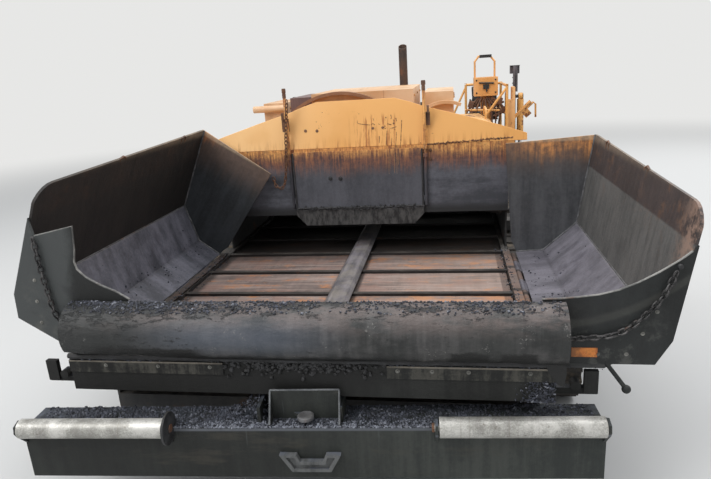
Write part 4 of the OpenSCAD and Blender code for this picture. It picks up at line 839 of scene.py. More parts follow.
class Kit:
    """Small solids gathered into one mesh."""

    def __init__(self):
        self.verts = []
        self.faces = []

    def solid(self, verts, faces):
        """A solid from its own corners and faces."""
        base = len(self.verts)
        self.verts.extend(tuple(v) for v in verts)
        self.faces.extend(tuple(base + i for i in face) for face in faces)

    def box(self, centre, size, turn=None):
        """A box by its centre and whole size, turned by a matrix."""
        corners = [Vector((x * size[0] / 2, y * size[1] / 2, z * size[2] / 2))
                   for x in (-1, 1) for y in (-1, 1) for z in (-1, 1)]
        if turn is not None:
            corners = [turn @ c for c in corners]
        self.solid([Vector(centre) + c for c in corners],
                   [(0, 1, 3, 2), (4, 6, 7, 5), (0, 4, 5, 1), (2, 3, 7, 6), (0, 2, 6, 4), (1, 5, 7, 3)])

    def sweep(self, line, r, n=10, closed=False):
        """A round bar along a line of points. r is one radius, or one for each point."""
        line = [Vector(p) for p in line]
        count = len(line)
        radii = r if isinstance(r, (list, tuple)) else [r] * count
        side, verts = None, []
        for i, p in enumerate(line):
            ahead = line[(i + 1) % count] if closed or i < count - 1 else p
            behind = line[i - 1] if closed or i > 0 else p
            way = (ahead - behind).normalized()
            side = way.orthogonal() if side is None else side
            side = (side - way * side.dot(way)).normalized()
            up = way.cross(side)
            for k in range(n):
                a = 2 * math.pi * k / n
                verts.append(p + (side * math.cos(a) + up * math.sin(a)) * radii[i])
        faces = []
        for i in range(count if closed else count - 1):
            j = (i + 1) % count
            for k in range(n):
                m = (k + 1) % n
                faces.append((i * n + k, i * n + m, j * n + m, j * n + k))
        if not closed:
            faces.append(tuple(reversed(range(n))))
            faces.append(tuple((count - 1) * n + k for k in range(n)))
        self.solid(verts, faces)

    def disc(self, place, way, r, h, n=16, chamfer=0.25):
        """A short round boss or, with n 6, a bolt head, standing on a surface."""
        way = Vector(way).normalized()
        place = Vector(place)
        self.sweep([place, place + way * h * (1 - chamfer), place + way * h],
                   [r, r, r * (1 - chamfer * 0.6)], n)

    def bolt(self, place, way, r=0.011):
        """A six-sided head on its washer, standing on a surface."""
        way = Vector(way).normalized()
        self.disc(place, way, r * 1.5, r * 0.28, 14)
        self.disc(Vector(place) + way * r * 0.28, way, r, r * 0.85, 6)

    def bolt_circle(self, centre, way, radius, count, size, start=0.0):
        """Bolts on a circle in the plane of Y and Z."""
        for k in range(count):
            a = start + 2 * math.pi * k / count
            around = Vector((0, math.cos(a), math.sin(a))) * radius
            self.bolt(Vector(centre) + around, way, size)

    def lump(self, place, size, rng):
        """A crumb: a twenty-sided lump, turned and stretched at random."""
        turn = Matrix.Rotation(rng.uniform(0, 6.28), 3, "Z") @ Matrix.Rotation(rng.uniform(0, 6.28), 3, "X")
        stretch = Vector((rng.uniform(0.7, 1.3), rng.uniform(0.7, 1.3), rng.uniform(0.6, 1.0))) * size
        self.solid([Vector(place) + turn @ Vector(v[i] * stretch[i] for i in range(3)) for v in LUMP_VERTS],
                   LUMP_FACES)

    def done(self, name, body, mat, smooth=35):
        """Makes the piece and lets it ride on a body. Edges sharper than smooth degrees stay sharp."""
        mesh = bpy.data.meshes.new(name)
        mesh.from_pydata(self.verts, [], self.faces)
        mesh.update()
        if smooth:
            mesh.polygons.foreach_set("use_smooth", [True] * len(mesh.polygons))
            mesh.set_sharp_from_angle(angle=math.radians(smooth))
        mesh.materials.append(mat)
        obj = bpy.data.objects.new(name, mesh)
        bpy.context.scene.collection.objects.link(obj)
        if body:
            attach(obj, body)
        return obj


def icosahedron():
    """Corners and faces of a regular twenty-sided solid."""
    t = (1 + 5 ** 0.5) / 2
    verts = [(-1, t, 0), (1, t, 0), (-1, -t, 0), (1, -t, 0), (0, -1, t), (0, 1, t), (0, -1, -t), (0, 1, -t),
             (t, 0, -1), (t, 0, 1), (-t, 0, -1), (-t, 0, 1)]
    faces = [(0, 11, 5), (0, 5, 1), (0, 1, 7), (0, 7, 10), (0, 10, 11), (1, 5, 9), (5, 11, 4), (11, 10, 2),
             (10, 7, 6), (7, 1, 8), (3, 9, 4), (3, 4, 2), (3, 2, 6), (3, 6, 8), (3, 8, 9), (4, 9, 5),
             (2, 4, 11), (6, 2, 10), (8, 6, 7), (9, 8, 1)]
    return [Vector(v).normalized() for v in verts], faces


LUMP_VERTS, LUMP_FACES = icosahedron()


def smooth_line(points, step):
    """Evenly spaced points on a smooth curve through the given ones."""
    pts = [Vector(p) for p in points]
    ends = [pts[0] * 2 - pts[1]] + pts + [pts[-1] * 2 - pts[-2]]
    fine = []
    for i in range(1, len(ends) - 2):
        a, b, c, d = ends[i - 1:i + 3]
        for k in range(24):
            t = k / 24
            fine.append(0.5 * (2 * b + (c - a) * t + (2 * a - 5 * b + 4 * c - d) * t * t
                               + (3 * b - 3 * c + d - a) * t * t * t))
    fine.append(pts[-1])
    out, left = [fine[0]], step
    for a, b in zip(fine, fine[1:]):
        span = (b - a).length
        while span > 0 and left <= span:
            out.append(a.lerp(b, left / span))
            left += step
        left -= span
    return out


def chain(name, points, body, mat, pitch=0.030, wire=0.0042, face=(0, 1, 0), seed=1):
    """A chain of welded links along a line. Its links lie in turn across and along face."""
    rng = random.Random(seed)
    kit = Kit()
    line = smooth_line(points, pitch)
    for i, (a, b) in enumerate(zip(line, line[1:])):
        along = (b - a).normalized()
        across = along.cross(Vector(face)).normalized()
        across = Matrix.Rotation(math.pi / 2 * (i % 2) + 0.6 + rng.uniform(-0.25, 0.25), 3, along) @ across
        middle, r, straight = (a + b) / 2, pitch * 0.36, pitch * 0.30
        ring = []
        for end in (1, -1):
            for k in range(5):
                t = math.radians(-90 + 45 * k)
                ring.append(middle + along * end * (straight + r * math.cos(t))
                            + across * end * r * math.sin(t))
        kit.sweep(ring, wire, 7, closed=True)
    return kit.done(name, body, mat)


def soften(node):
    """Rounds the edges of a CAD node as it is shown."""
    obj = NODES[node]
    weld = obj.modifiers.new("weld", "WELD")
    weld.merge_threshold = 0.00002
    bevel = obj.modifiers.new("edges", "BEVEL")
    bevel.width = 0.0025
    bevel.segments = 2
    bevel.limit_method = "ANGLE"
    bevel.angle_limit = math.radians(40)
    bevel.use_clamp_overlap = True
    bevel.harden_normals = True


# Outlines in the wing's own frame: distance from the hinge, height above it
RIM_LINE = {
    "left": [(-0.060, 0.502), (0.011, 0.502), (0.082, 0.491), (0.158, 0.488), (0.209, 0.501), (0.235, 0.528),
             (0.254, 0.582), (0.300, 0.678), (0.385, 0.594), (0.440, 0.542)],
    "right": [(-0.060, 0.393), (0.007, 0.395), (0.082, 0.402), (0.155, 0.412), (0.227, 0.431), (0.297, 0.463),
              (0.366, 0.503), (0.440, 0.554), (0.476, 0.586)],
}
PAN_SECTION = [(0.030, 0.018), (0.211, 0.032), (0.423, 0.221), (0.483, 0.608), (0.516, 0.808)]


def wing_trim(side):
    """Worn rim, weld beads, bolts and lifting eyes of a wing."""
    body = "wing_" + side
    kit = Kit()
    kit.sweep([wing_point(side, u, FRONT_Y + 0.006, w) for u, w in RIM_LINE[side]], 0.0052, 10)
    kit.done("front_rim_" + side, body, RIM)
    # Weld beads round the rear plate and along the folds
    rng = random.Random(5)
    kit = Kit()
    for a, b in zip(PAN_SECTION, PAN_SECTION[1:]):
        steps = max(3, int(math.dist(a, b) / 0.009))
        line = [[p + (q - p) * i / steps for p, q in zip(a, b)] for i in range(steps + 1)]
        kit.sweep([wing_point(side, u - 0.002, WING_END_Y, w + 0.002) for u, w in line],
                  [0.0060 + rng.uniform(-0.0014, 0.0014) for _ in line], 8)
    line = [-2.97 + 0.012 * i for i in range(148)]
    kit.sweep([wing_point(side, 0.4225, y, 0.2225) for y in line],
              [0.0038 + rng.uniform(-0.0010, 0.0010) for _ in line], 8)
    kit.done("weld_beads_" + side, body, WELD)
    # Bolts along the front plate, and the lifting eyes on the wall's upper edge
    kit = Kit()
    for u, w in ((0.159, 0.160), (0.267, 0.162), (0.322, 0.251), (0.368, 0.344)):
        kit.bolt(wing_point(side, u, FRONT_Y, w), (0, -1, 0), 0.0055)
    kit.done("front_bolts_" + side, body, GALV)
    kit = Kit()
    way = wing_point(side, 0, 0, 1) - wing_point(side, 0, 0, 0)
    for y in (-2.30, -1.55):
        base = wing_point(side, 0.514, y, 0.735 + (0.05 if y > -2 else 0.025))
        eye = [(-0.03, 0), (0.012, 0), (0.022, 0.028), (0.012, 0.056), (-0.03, 0.056)]
        kit.sweep([base + way * up + Vector((0, dy, 0)) for up, dy in eye], 0.007, 10)
    kit.done("lifting_eyes_" + side, body, RUSTY)


def strip_decal():
    """A bare strip in place of the decal on the right wing's front plate."""
    kit = Kit()
    top_left, low_right = (571.5, 347.5), (597, 357)
    a, b = seen(*top_left, FRONT_Y), seen(*low_right, FRONT_Y)
    kit.box(((a.x + b.x) / 2, FRONT_Y - 0.0008, (a.z + b.z) / 2), (b.x - a.x, 0.0016, a.z - b.z))
    kit.done("bare_decal_place", "wing_right", DECAL, 0)


def rigging():
    """The chains that hold the wings and the one on the gate, hung along lines in the photo."""
    hung_y = FRONT_Y - 0.014
    right = [(569, 339), (579, 338.6), (591, 337.8), (609, 336.2), (627, 329.6), (645, 316), (661, 300),
             (672, 282), (680, 266)]
    hung = [seen(px, py, hung_y) for px, py in right]
    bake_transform(chain("wing_chain_right", hung, None, CHAIN, 0.027, 0.0040, seed=3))
    left = [(31.9, 238), (37.5, 259), (42, 275), (48, 294), (54, 311.6), (62, 325)]
    hung = [seen(px, py, hung_y) for px, py in left]
    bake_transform(chain("wing_chain_left", hung, None, CHAIN, 0.027, 0.0040, seed=4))
    gate = [(286.6, 100), (286.2, 118), (285.9, 140), (286.2, 160), (285.7, 176), (284.3, 185.5),
            (280.3, 188.7), (275.6, 185), (272.9, 175)]
    chain("gate_chain", [seen(px, py, -1.150) for px, py in gate], "gate", RUSTY, 0.026, 0.0036, seed=6)
    kit = Kit()
    kit.disc(seen(*right[-1], FRONT_Y), (0, -1, 0), 0.010, 0.016, 14)
    kit.done("chain_anchor_right", "wing_right", TAR)


def crumbs(name, body, count, place, seed, sizes=(0.0025, 0.008), mat=None):
    """Asphalt crumbs. place gives a point, or nothing, for two random numbers."""
    rng = random.Random(seed)
    kit = Kit()
    for _ in range(count):
        spot = place(rng.random(), rng.random(), rng)
        if spot is not None:
            kit.lump(spot, sizes[0] + (sizes[1] - sizes[0]) * rng.random() ** 2.5, rng)
    kit.done(name, body, mat or CRUMB, 0)


def apron_top(y, lift=0.0):
    """Height of the apron's round top at y."""
    return APRON_Z + math.sqrt(max(0.0, APRON_R ** 2 - (y - APRON_Y) ** 2)) + lift


def beam_point(x, y, z):
    """A point given in the push beam's own frame, before the beam is turned on its pin."""
    cos, sin, y = math.cos(BEAM_TURN), math.sin(BEAM_TURN), y - BEAM_PIN_Y
    return Vector((x * cos - y * sin, BEAM_PIN_Y + x * sin + y * cos, z))


def spread_crumbs():
    """Crumbs where the photo shows them: on the apron, beam, nose, floor and strip, and in the wings."""
    def on_apron(a, b, rng):
        x = -HOPPER_HALF_W + 2.12 * a
        heap = noise.noise(Vector((x * 3.1, 0.3, 7))) + 0.35 * noise.noise(Vector((x * 11, 2, 3)))
        left_heap = math.exp(-((x + 0.80) / 0.22) ** 2) * 0.7
        if rng.random() > 0.42 + heap * 0.7 + left_heap:
            return None
        y = -2.999 - 0.075 * b ** (1.8 if heap + left_heap < 0.3 else 1.0)
        return Vector((x, y, apron_top(y, 0.001)))

    def on_beam(a, b, rng):
        x = -BEAM_HALF_W + 2 * BEAM_HALF_W * a
        y = -3.1455 + 0.168 * b
        if abs(x) > BEAM_STEP_X and y < -3.09:
            return None
        cover = noise.noise(Vector((x * 4, y * 9, 1))) + 0.25
        if rng.random() > 0.65 + cover:
            return None
        pile = max(0.0, noise.noise(Vector((x * 5, y * 12, 4)))) * 0.010
        heap = 0.078 * math.exp(-((x + 0.205) / 0.085) ** 2) * max(0.0, min(1.0, (y + 3.10) / 0.08))
        return beam_point(x, y, BEAM_Z + (pile + heap) * rng.random() ** 0.5)

    def on_nose(a, b, rng):
        x = 0.955 + 0.11 * rng.gauss(0.6, 0.35)
        z = 0.613 + 0.10 * b * b
        return Vector((x, -3.046 - 0.004 * rng.random(), z)) if 0.90 < x < 1.068 else None

    def on_floor(a, b, rng):
        x = -HOPPER_HALF_W + 2 * HOPPER_HALF_W * a
        edge = 0.030 + 0.030 * max(0.0, noise.noise(Vector((x * 5, 9, 1))))
        y = -2.868 + edge * abs(rng.gauss(0, 1.0))
        if b < 0.35:
            # Along the wings' lower edges
            s = -1 if rng.random() < 0.6 else 1
            return Vector((s * (HOPPER_HALF_W - 0.030 * abs(rng.gauss(0, 1))), -2.85 + 1.65 * rng.random(),
                           SLAT_Z if rng.random() < 0.5 else FLOOR_Z))
        return Vector((x, y, FLOOR_Z))

    def on_strip(a, b, rng):
        x = -1.04 + 2.08 * a
        cover = noise.noise(Vector((x * 3, 5, 2)))
        y, z = (-3.038, 0.775) if -0.34 < x < 0.40 else (-3.048, 0.766)
        return Vector((x, y - 0.004 + 0.008 * b, z + 0.002)) if rng.random() < 0.35 + cover else None

    def on_beam_edge(a, b, rng):
        x = -BEAM_HALF_W + 2 * BEAM_HALF_W * a
        y = -3.1465 + 0.052 * b * b
        if abs(x) > BEAM_STEP_X or rng.random() > 0.75 + noise.noise(Vector((x * 5, 3, 1))):
            return None
        return beam_point(x, y, BEAM_Z + 0.001 + 0.004 * rng.random())

    crumbs("crumbs_on_apron", "machine", 3600, on_apron, 11, (0.0022, 0.0075))
    crumbs("crumbs_on_beam", "push_beam", 8200, on_beam, 12, (0.0022, 0.0075), BEAM_CRUMB_PAINTED_LIGHT)
    crumbs("dusty_crumbs_on_beam", "push_beam", 3800, on_beam_edge, 17, (0.0020, 0.0060), PALE_CRUMB)
    crumbs("crumbs_on_nose", "machine", 800, on_nose, 13, (0.0020, 0.0060))
    crumbs("crumbs_on_floor", "machine", 2400, on_floor, 14, (0.0022, 0.0075))
    crumbs("crumbs_on_strip", "machine", 700, on_strip, 15, (0.0025, 0.007))
    for side in SIDES:
        def on_wing(a, b, rng, side=side):
            y = -2.90 + 1.66 * a
            cover = noise.noise(Vector((a * 7, b * 3, SIDES[side])))
            if rng.random() > 0.25 + 0.9 * cover + 0.5 * (y < -2.7):
                return None
            u = 0.04 + 0.36 * b
            w = 0.019 + (u - 0.03) * 0.0773 if u < 0.211 else 0.032 + (u - 0.211) * 0.8915
            return wing_point(side, u, y, w + 0.002) if u < 0.25 or rng.random() < 0.15 else None
        crumbs("crumbs_in_wing_" + side, "wing_" + side, 620, on_wing, 16 + SIDES[side], (0.0025, 0.007))


def gate_trim():
    """Tar, bolts, edge strips, lift rod heads and brackets of the flow gate."""
    kit = Kit()
    rng = random.Random(21)
    # Tar that has built up along the fold above the lip
    line = [-0.462 + 0.012 * i for i in range(78)]
    kit.sweep([(x, GATE_Y, GATE_FOLD_Z + 0.006 * noise.noise(Vector((x * 9, 0, 0)))) for x in line],
              [0.006 + rng.uniform(-0.002, 0.004) for _ in line], 8)
    for _ in range(220):
        x = rng.uniform(-0.45, 0.45)
        kit.lump((x, GATE_Y - 0.002, GATE_FOLD_Z + rng.gauss(0, 0.008)), rng.uniform(0.003, 0.009), rng)
    kit.done("gate_tar_ridge", "gate", TAR, 0)
    kit = Kit()
    for pixel in ((330.5, 178.5), (340.5, 178.5)):
        kit.bolt(seen(*pixel, GATE_Y), (0, -1, 0), 0.010)
    for x in (-0.462, 0.462):
        kit.box((x, GATE_Y - 0.002, 1.20), (0.010, 0.006, 0.40))
    kit.done("gate_bolts", "gate", TAR)
    # Heads and clamps of the lift rods
    rod_x, rod_y = 0.486, -1.120
    kit = Kit()
    for s in (-1, 1):
        for z, r, h, n in ((1.826, 0.016, 0.030, 6), (1.790, 0.013, 0.036, 12)):
            kit.disc((s * rod_x, rod_y, z), (0, 0, 1), r, h, n)
    kit.done("gate_rod_heads", "gate", RUSTY)
    kit = Kit()
    for s in (-1, 1):
        kit.box((s * 0.512, -1.115, 1.664), (0.016, 0.024, 0.050))
        kit.box((s * 0.500, -1.100, 1.600), (0.050, 0.012, 0.090))
        for z in (1.320, 1.382):
            kit.bolt((s * 0.520, -1.1045, z), (0, -1, 0), 0.008)
    kit.done("gate_rod_brackets", "machine", RUSTY)


def on_hood(px, py, out=0.0006):
    """The point of the hood's front face at a photo pixel."""
    normal = Vector((0, -math.cos(HOOD_LEAN), math.sin(HOOD_LEAN)))
    start = Vector((0, BULKHEAD_Y, HOOD_FOOT_Z)) + normal * out
    ray = pixel_ray(px, py)
    return EYE + ray * ((start - EYE).dot(normal) / ray.dot(normal))


def hood_marks():
    """Scratches, bolt heads and a ragged crust on the hood, and pale runs below it on the gate."""
    rng = random.Random(31)
    kit = Kit()
    scratches = [
        [(357.3, 120.5), (357.6, 123.2), (361, 124.0), (366, 124.6), (370.5, 124.9)],
        [(373, 118.2), (374, 120.8)], [(371, 124.4), (373, 123.6), (375.2, 125.0)],
        [(378.5, 123.8), (380.5, 124.6)], [(385.2, 117.2), (387, 118.0)],
        [(390.6, 114.8), (391.4, 117.5), (390.4, 119.2)], [(393.6, 119.4), (393.9, 122.8), (395.2, 123.2)],
        [(387.2, 123.6), (389.5, 124.2), (391.6, 124.6)], [(383.6, 126.5), (385.0, 128.6), (386.6, 127.4)],
        [(390.6, 128.2), (393.8, 127.6), (396.8, 126.2)], [(395.8, 117.8), (396.6, 121.4)],
        [(394.6, 129.2), (395.4, 130.4)], [(358.8, 113.4), (358.9, 114.8)],
        [(401.6, 120), (401.3, 128), (400.9, 137), (400.4, 147)],
        [(386.9, 130.5), (386.5, 137), (386.0, 145.5)], [(379.4, 136), (379.2, 143.5)],
        [(391.8, 138), (391.2, 146)], [(396.3, 132), (396.0, 140), (395.6, 147)],
    ]
    for line in scratches:
        pts = smooth_line([on_hood(px, py) for px, py in line], 0.006)
        kit.sweep(pts, [0.0010 + rng.random() * 0.0018 for _ in pts], 5)
    for px, py, r in ((305.5, 131, 0.011), (317, 131, 0.011), (372.8, 128.2, 0.010), (382.6, 127.6, 0.009),
                      (393.6, 123.4, 0.006)):
        kit.disc(on_hood(px, py, 0.0), (0, -1, 0.2), r, 0.003, 12)
    # Ragged crust along the crease, right of the gate
    crease_px, crease_py, crease_long, crease_rise = 425, 144.6, 88, 0.085
    for i in range(150):
        px = crease_px + crease_long * i / 150
        p = on_hood(px, crease_py - (px - crease_px) * crease_rise, 0.001)
        kit.lump(p + Vector((0, 0, rng.gauss(0, 0.003))), rng.uniform(0.002, 0.007), rng)
    kit.done("hood_rust_marks", "machine", RUSTY, 0)
    kit = Kit()
    gate_top_py = 152
    for px in (386.5, 389, 391, 394.5, 397, 398.8):
        length = rng.uniform(9, 24)
        top = seen(px, gate_top_py + rng.uniform(-2, 2), GATE_Y)
        low = seen(px + rng.uniform(-0.4, 0.4), gate_top_py + length, GATE_Y)
        pts = [top.lerp(low, k / 8) for k in range(9)]
        kit.sweep(pts, [0.0016 * (1 - k / 12) for k in range(9)], 5)
    kit.done("gate_pale_runs", "gate", PALE_RUN, 0)


def spokes(middle, up, radius, angles):
    """Points round a middle, in the plane of the X axis and another one."""
    side = Vector((1, 0, 0))
    return [middle + (side * math.cos(a) + up * math.sin(a)) * radius for a in angles]


def control_box_fittings():
    """A T bar, small plates and bolts on the control box and its hoop."""
    kit = Kit()
    bar_y, front_y = 1.088, 1.100
    bar, stem = ((479, 83), (494, 83)), ((486.5, 83), (486.7, 92))
    kit.sweep([seen(*pixel, bar_y) for pixel in bar], 0.0080, 8)
    kit.sweep([seen(*pixel, bar_y) for pixel in stem], 0.0075, 8)
    kit.box((1.02, 1.094, 1.700), (0.060, 0.014, 0.044))
    kit.box((1.02, 1.220, 1.999), (0.120, 0.070, 0.030))
    for x, z in ((0.925, 1.64), (1.115, 1.64), (0.925, 1.765), (1.115, 1.765)):
        kit.bolt((x, front_y, z), (0, -1, 0), 0.006)
    kit.done("control_box_fittings", "machine", BLACK)


def station_levers():
    """Levers and rigid pipes round the control box's pedestal, and dials on the box's back."""
    kit = Kit()
    rng = random.Random(41)
    for i in range(9):
        x = 0.835 + 0.046 * i
        lean = rng.uniform(-0.035, 0.035)
        line = [(x, 1.130 + 0.012 * (i % 3), 1.134), (x + lean, 1.120, 1.30),
                (x + lean * 0.4, 1.105 + 0.02 * (i % 2), 1.46), (0.955 + 0.014 * i, 1.135, 1.607)]
        kit.sweep(smooth_line(line, 0.03), 0.0075 + 0.002 * (i % 3), 8)
    for x0, z0, x1, z1 in ((0.86, 1.52, 0.93, 1.50), (0.84, 1.43, 0.96, 1.47),
                           (1.10, 1.49, 1.20, 1.54), (1.09, 1.40, 1.21, 1.44)):
        kit.sweep([(x0, 1.11, z0), (x1, 1.14, z1)], 0.011, 8)
    for x, z in ((0.868, 1.53), (1.155, 1.55), (1.19, 1.46)):
        kit.box((x, 1.12, z), (0.052, 0.060, 0.070), Matrix.Rotation(0.3, 3, "Y"))
    kit.done("station_levers", "machine", RUSTY)
    kit = Kit()
    for x, z, r in ((0.965, 1.735, 0.030), (1.050, 1.740, 0.024), (1.108, 1.740, 0.018)):
        kit.disc((x, 1.340, z), (0, 1, 0), r, 0.010, 20)
    for i in range(6):
        kit.disc((0.935 + 0.034 * i, 1.340, 1.655), (0, 1, 0), 0.008, 0.022, 10)
    kit.done("station_dials", "machine", DIAL)


def console_levers():
    """Gaiters, rods and grips on the console, with its dials."""
    kit = Kit()
    for x, tall in ((-0.62, 0.13), (-0.54, 0.13), (-0.46, 0.15), (0.18, 0.12), (0.27, 0.15), (0.36, 0.12),
                    (0.52, 0.10)):
        kit.box((x, 1.020, 1.433), (0.040, 0.090, 0.008))
        kit.sweep([(x, 1.015, 1.432), (x, 1.045, 1.430 + tall)], 0.006, 8)
        grip = [(1.045, 1.425), (1.049, 1.436), (1.054, 1.452), (1.058, 1.464)]
        kit.sweep([(x, y, z + tall) for y, z in grip], [0.008, 0.016, 0.016, 0.007], 12)
    kit.box((-0.07, 1.0, 1.434), (0.34, 0.150, 0.008))
    kit.done("console_levers", "machine", BLACK)
    kit = Kit()
    for x in (-0.18, -0.09, 0.0):
        kit.disc((x, 1.0, 1.438), (0, 0, 1), 0.026, 0.010, 20)
    kit.done("console_dials", "machine", DIAL)


def steering_wheel():
    """Steering wheel on the left pedestal."""
    kit = Kit()
    hub = Vector((-1.015, 1.250, 1.530))
    way = Vector((0, 0.38, 0.92)).normalized()
    up = way.cross(Vector((1, 0, 0)))
    kit.sweep(spokes(hub, up, 0.135, [2 * math.pi * k / 28 for k in range(28)]), 0.011, 8, closed=True)
    for end in spokes(hub, up, 0.133, [math.radians(90 + 120 * k) for k in range(3)]):
        kit.sweep([hub - way * 0.02, end], 0.007, 8)
    kit.sweep([(-1.015, 1.205, 1.420), hub], 0.017, 12)
    kit.disc(hub - way * 0.024, way, 0.034, 0.036, 18)
    kit.disc((-1.015, 1.200, 1.420), (0, 0.2, 1), 0.036, 0.030, 16)
    kit.done("steering_wheel", "machine", BLACK)


def rail_feet():
    """Caps and foot flanges of the rails' posts."""
    kit = Kit()
    for s, top in ((1, 1.705), (-1, 1.400)):
        for x, y in ((0.830, 1.735), (1.215, 1.735), (1.215, 0.950)):
            kit.disc((s * x, y, top + 0.010), (0, 0, 1), 0.0150, 0.006, 14)
            kit.disc((s * x, y, DECK_Z), (0, 0, 1), 0.034, 0.010, 14)
    kit.done("rail_feet", "machine", DIRTY_YELLOW)


PAD_ROOM = 0.008    # how much smaller a pad starts, for its swelling
PAD_SWELL = 0.013   # the most that a point of a pad moves


def cushion(name, low, high):
    """A padded cushion swollen by cloth simulation, with two sewn channels pressed in after it."""
    half = (Vector(high) - Vector(low)) / 2
    middle = (Vector(high) + Vector(low)) / 2
    mesh = bpy.data.meshes.new(name)
    bm = bmesh.new()
    bmesh.ops.create_cube(bm, size=2)
    for v in bm.verts:
        v.co = Vector(v.co[i] * (half[i] - PAD_ROOM) for i in range(3))
    bmesh.ops.bevel(bm, geom=bm.edges[:], offset=0.016, segments=3, profile=0.6, affect="EDGES")
    bm.to_mesh(mesh)
    bm.free()
    obj = bpy.data.objects.new(name, mesh)
    scene = bpy.context.scene
    scene.collection.objects.link(obj)
    remesh = obj.modifiers.new("voxels", "REMESH")
    remesh.mode = "VOXEL"
    remesh.voxel_size = 0.0075
    obj.data = bpy.data.meshes.new_from_object(obj.evaluated_get(bpy.context.evaluated_depsgraph_get()))
    obj.modifiers.clear()
    home = [v.co.copy() for v in obj.data.vertices]
    cloth = obj.modifiers.new("cloth", "CLOTH")
    cloth.settings.use_pressure = True
    cloth.settings.uniform_pressure_force = 4
    cloth.settings.effector_weights.gravity = 0
    for step in range(1, 21):
        scene.frame_set(step)
    fine = bpy.data.meshes.new_from_object(obj.evaluated_get(bpy.context.evaluated_depsgraph_get()))
    obj.modifiers.clear()
    scene.frame_set(1)
    # The swelling is scaled back, so that no point ends more than about 6 mm outside the CAD solid
    thin = min(range(3), key=lambda i: half[i])
    across = [i for i in range(3) if i != thin]
    most = max((v.co - start).length for v, start in zip(fine.vertices, home))
    for v, start in zip(fine.vertices, home):
        v.co = start + (v.co - start) * min(1.0, PAD_SWELL / most)
        u = start[across[0]] / half[across[0]]
        w = start[across[1]] / half[across[1]]
        channel = max(0.0, 1 - abs(abs(u) - 0.36) / 0.07) * max(0.0, 1 - w ** 6)
        v.co[thin] -= math.copysign(0.006 * channel ** 2, v.co[thin])
        v.co += Vector(noise.noise_vector(v.co * 14)) * 0.0012
    fine.transform(Matrix.Translation(middle))
    obj.data = fine
    fine.polygons.foreach_set("use_smooth", [True] * len(fine.polygons))
    fine.materials.clear()
    fine.materials.append(VINYL)
    smooth = obj.modifiers.new("smooth", "SUBSURF")
    smooth.levels = smooth.render_levels = 1
    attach(obj, "machine")
    return obj


def seats():
    """Two seats: padded cushion and back, with their pedestal, armrests and lever."""
    for side, s in SIDES.items():
        x0, x1 = sorted((s * 0.880, s * 1.180))
        seat = cushion(f"seat_cushion_{side}", (x0, 1.375, 1.352), (x1, 1.640, 1.440))
        back = cushion(f"seat_back_{side}", (x0, 1.622, 1.446), (x1, 1.690, 1.698))
        for piece in (seat, back):
            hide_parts("seat_" + side)
        kit = Kit()
        x, post_y = s * 1.030, 1.520
        kit.sweep([(x, post_y, DECK_Z), (x, post_y, 1.345)], 0.045, 20)
        kit.disc((x, post_y, DECK_Z), (0, 0, 1), 0.090, 0.014, 24)
        kit.box((x, 1.510, 1.345), (0.260, 0.250, 0.012))
        kit.sweep([(x, 1.640, 1.340), (x, 1.693, 1.352), (x, 1.694, 1.500)], 0.012, 8)
        for dx in (-0.155, 0.155):
            kit.sweep([(x + dx, 1.655, 1.40), (x + dx, 1.655, 1.545), (x + dx, 1.440, 1.550)], 0.010, 8)
        kit.sweep([(x + s * 0.11, 1.40, 1.338), (x + s * 0.11, 1.355, 1.330)], 0.006, 8)
        frame_piece = kit.done(f"seat_frame_{side}", "machine", BLACK)
        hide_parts("seat_" + side)


def door_details():
    """Louvres and latches on the engine doors."""
    for side, s in SIDES.items():
        x, body = s * DOOR_X, "engine_door_" + side
        louvres, latches = Kit(), Kit()
        for y in (-0.47, -0.04, 0.39):
            for i in range(3):
                louvres.box((x, y, 1.230 + 0.036 * i), (0.009, 0.26, 0.012), Matrix.Rotation(s * 0.6, 3, "Y"))
        for y in (-0.42, 0.36):
            latches.box((x + s * 0.005, y, 1.196), (0.010, 0.085, 0.026))
            handle = [(0.008, -0.028), (0.020, -0.020), (0.020, 0.020), (0.008, 0.028)]
            latches.sweep([(x + s * out, y + dy, 1.196) for out, dy in handle], 0.004, 8)
        louvres.done("door_louvres_" + side, body, YELLOW)
        latches.done("door_latches_" + side, body, BLACK)


def cover_bolts():
    """Bolts along the cover's foot, on the door hinges and round the boxes."""
    kit = Kit()
    for s in SIDES.values():
        for i in range(9):
            kit.bolt((s * DOOR_X, -0.93 + 0.218 * i, 1.130), (s, 0, 0), 0.008)
        for y in (-0.58, -0.54, 0.46, 0.50):
            kit.bolt((s * (DOOR_X + 0.001), y, 1.3635), (s, 0, 0), 0.005)
    for x0, x1, y0, y1, z in ((-0.390, 0.390, -0.700, 0.300, 1.739), (0.462, 0.688, -0.520, 0.260, 1.700),
                              (-0.903, -0.699, -0.300, 0.300, 1.670)):
        for x, way in ((x0, -1), (x1, 1)):
            for y in (y0 + 0.10, (y0 + y1) / 2, y1 - 0.10):
                kit.bolt((x, y, z), (way, 0, 0), 0.008)
    kit.done("cover_bolts", "machine", DIRTY_YELLOW)


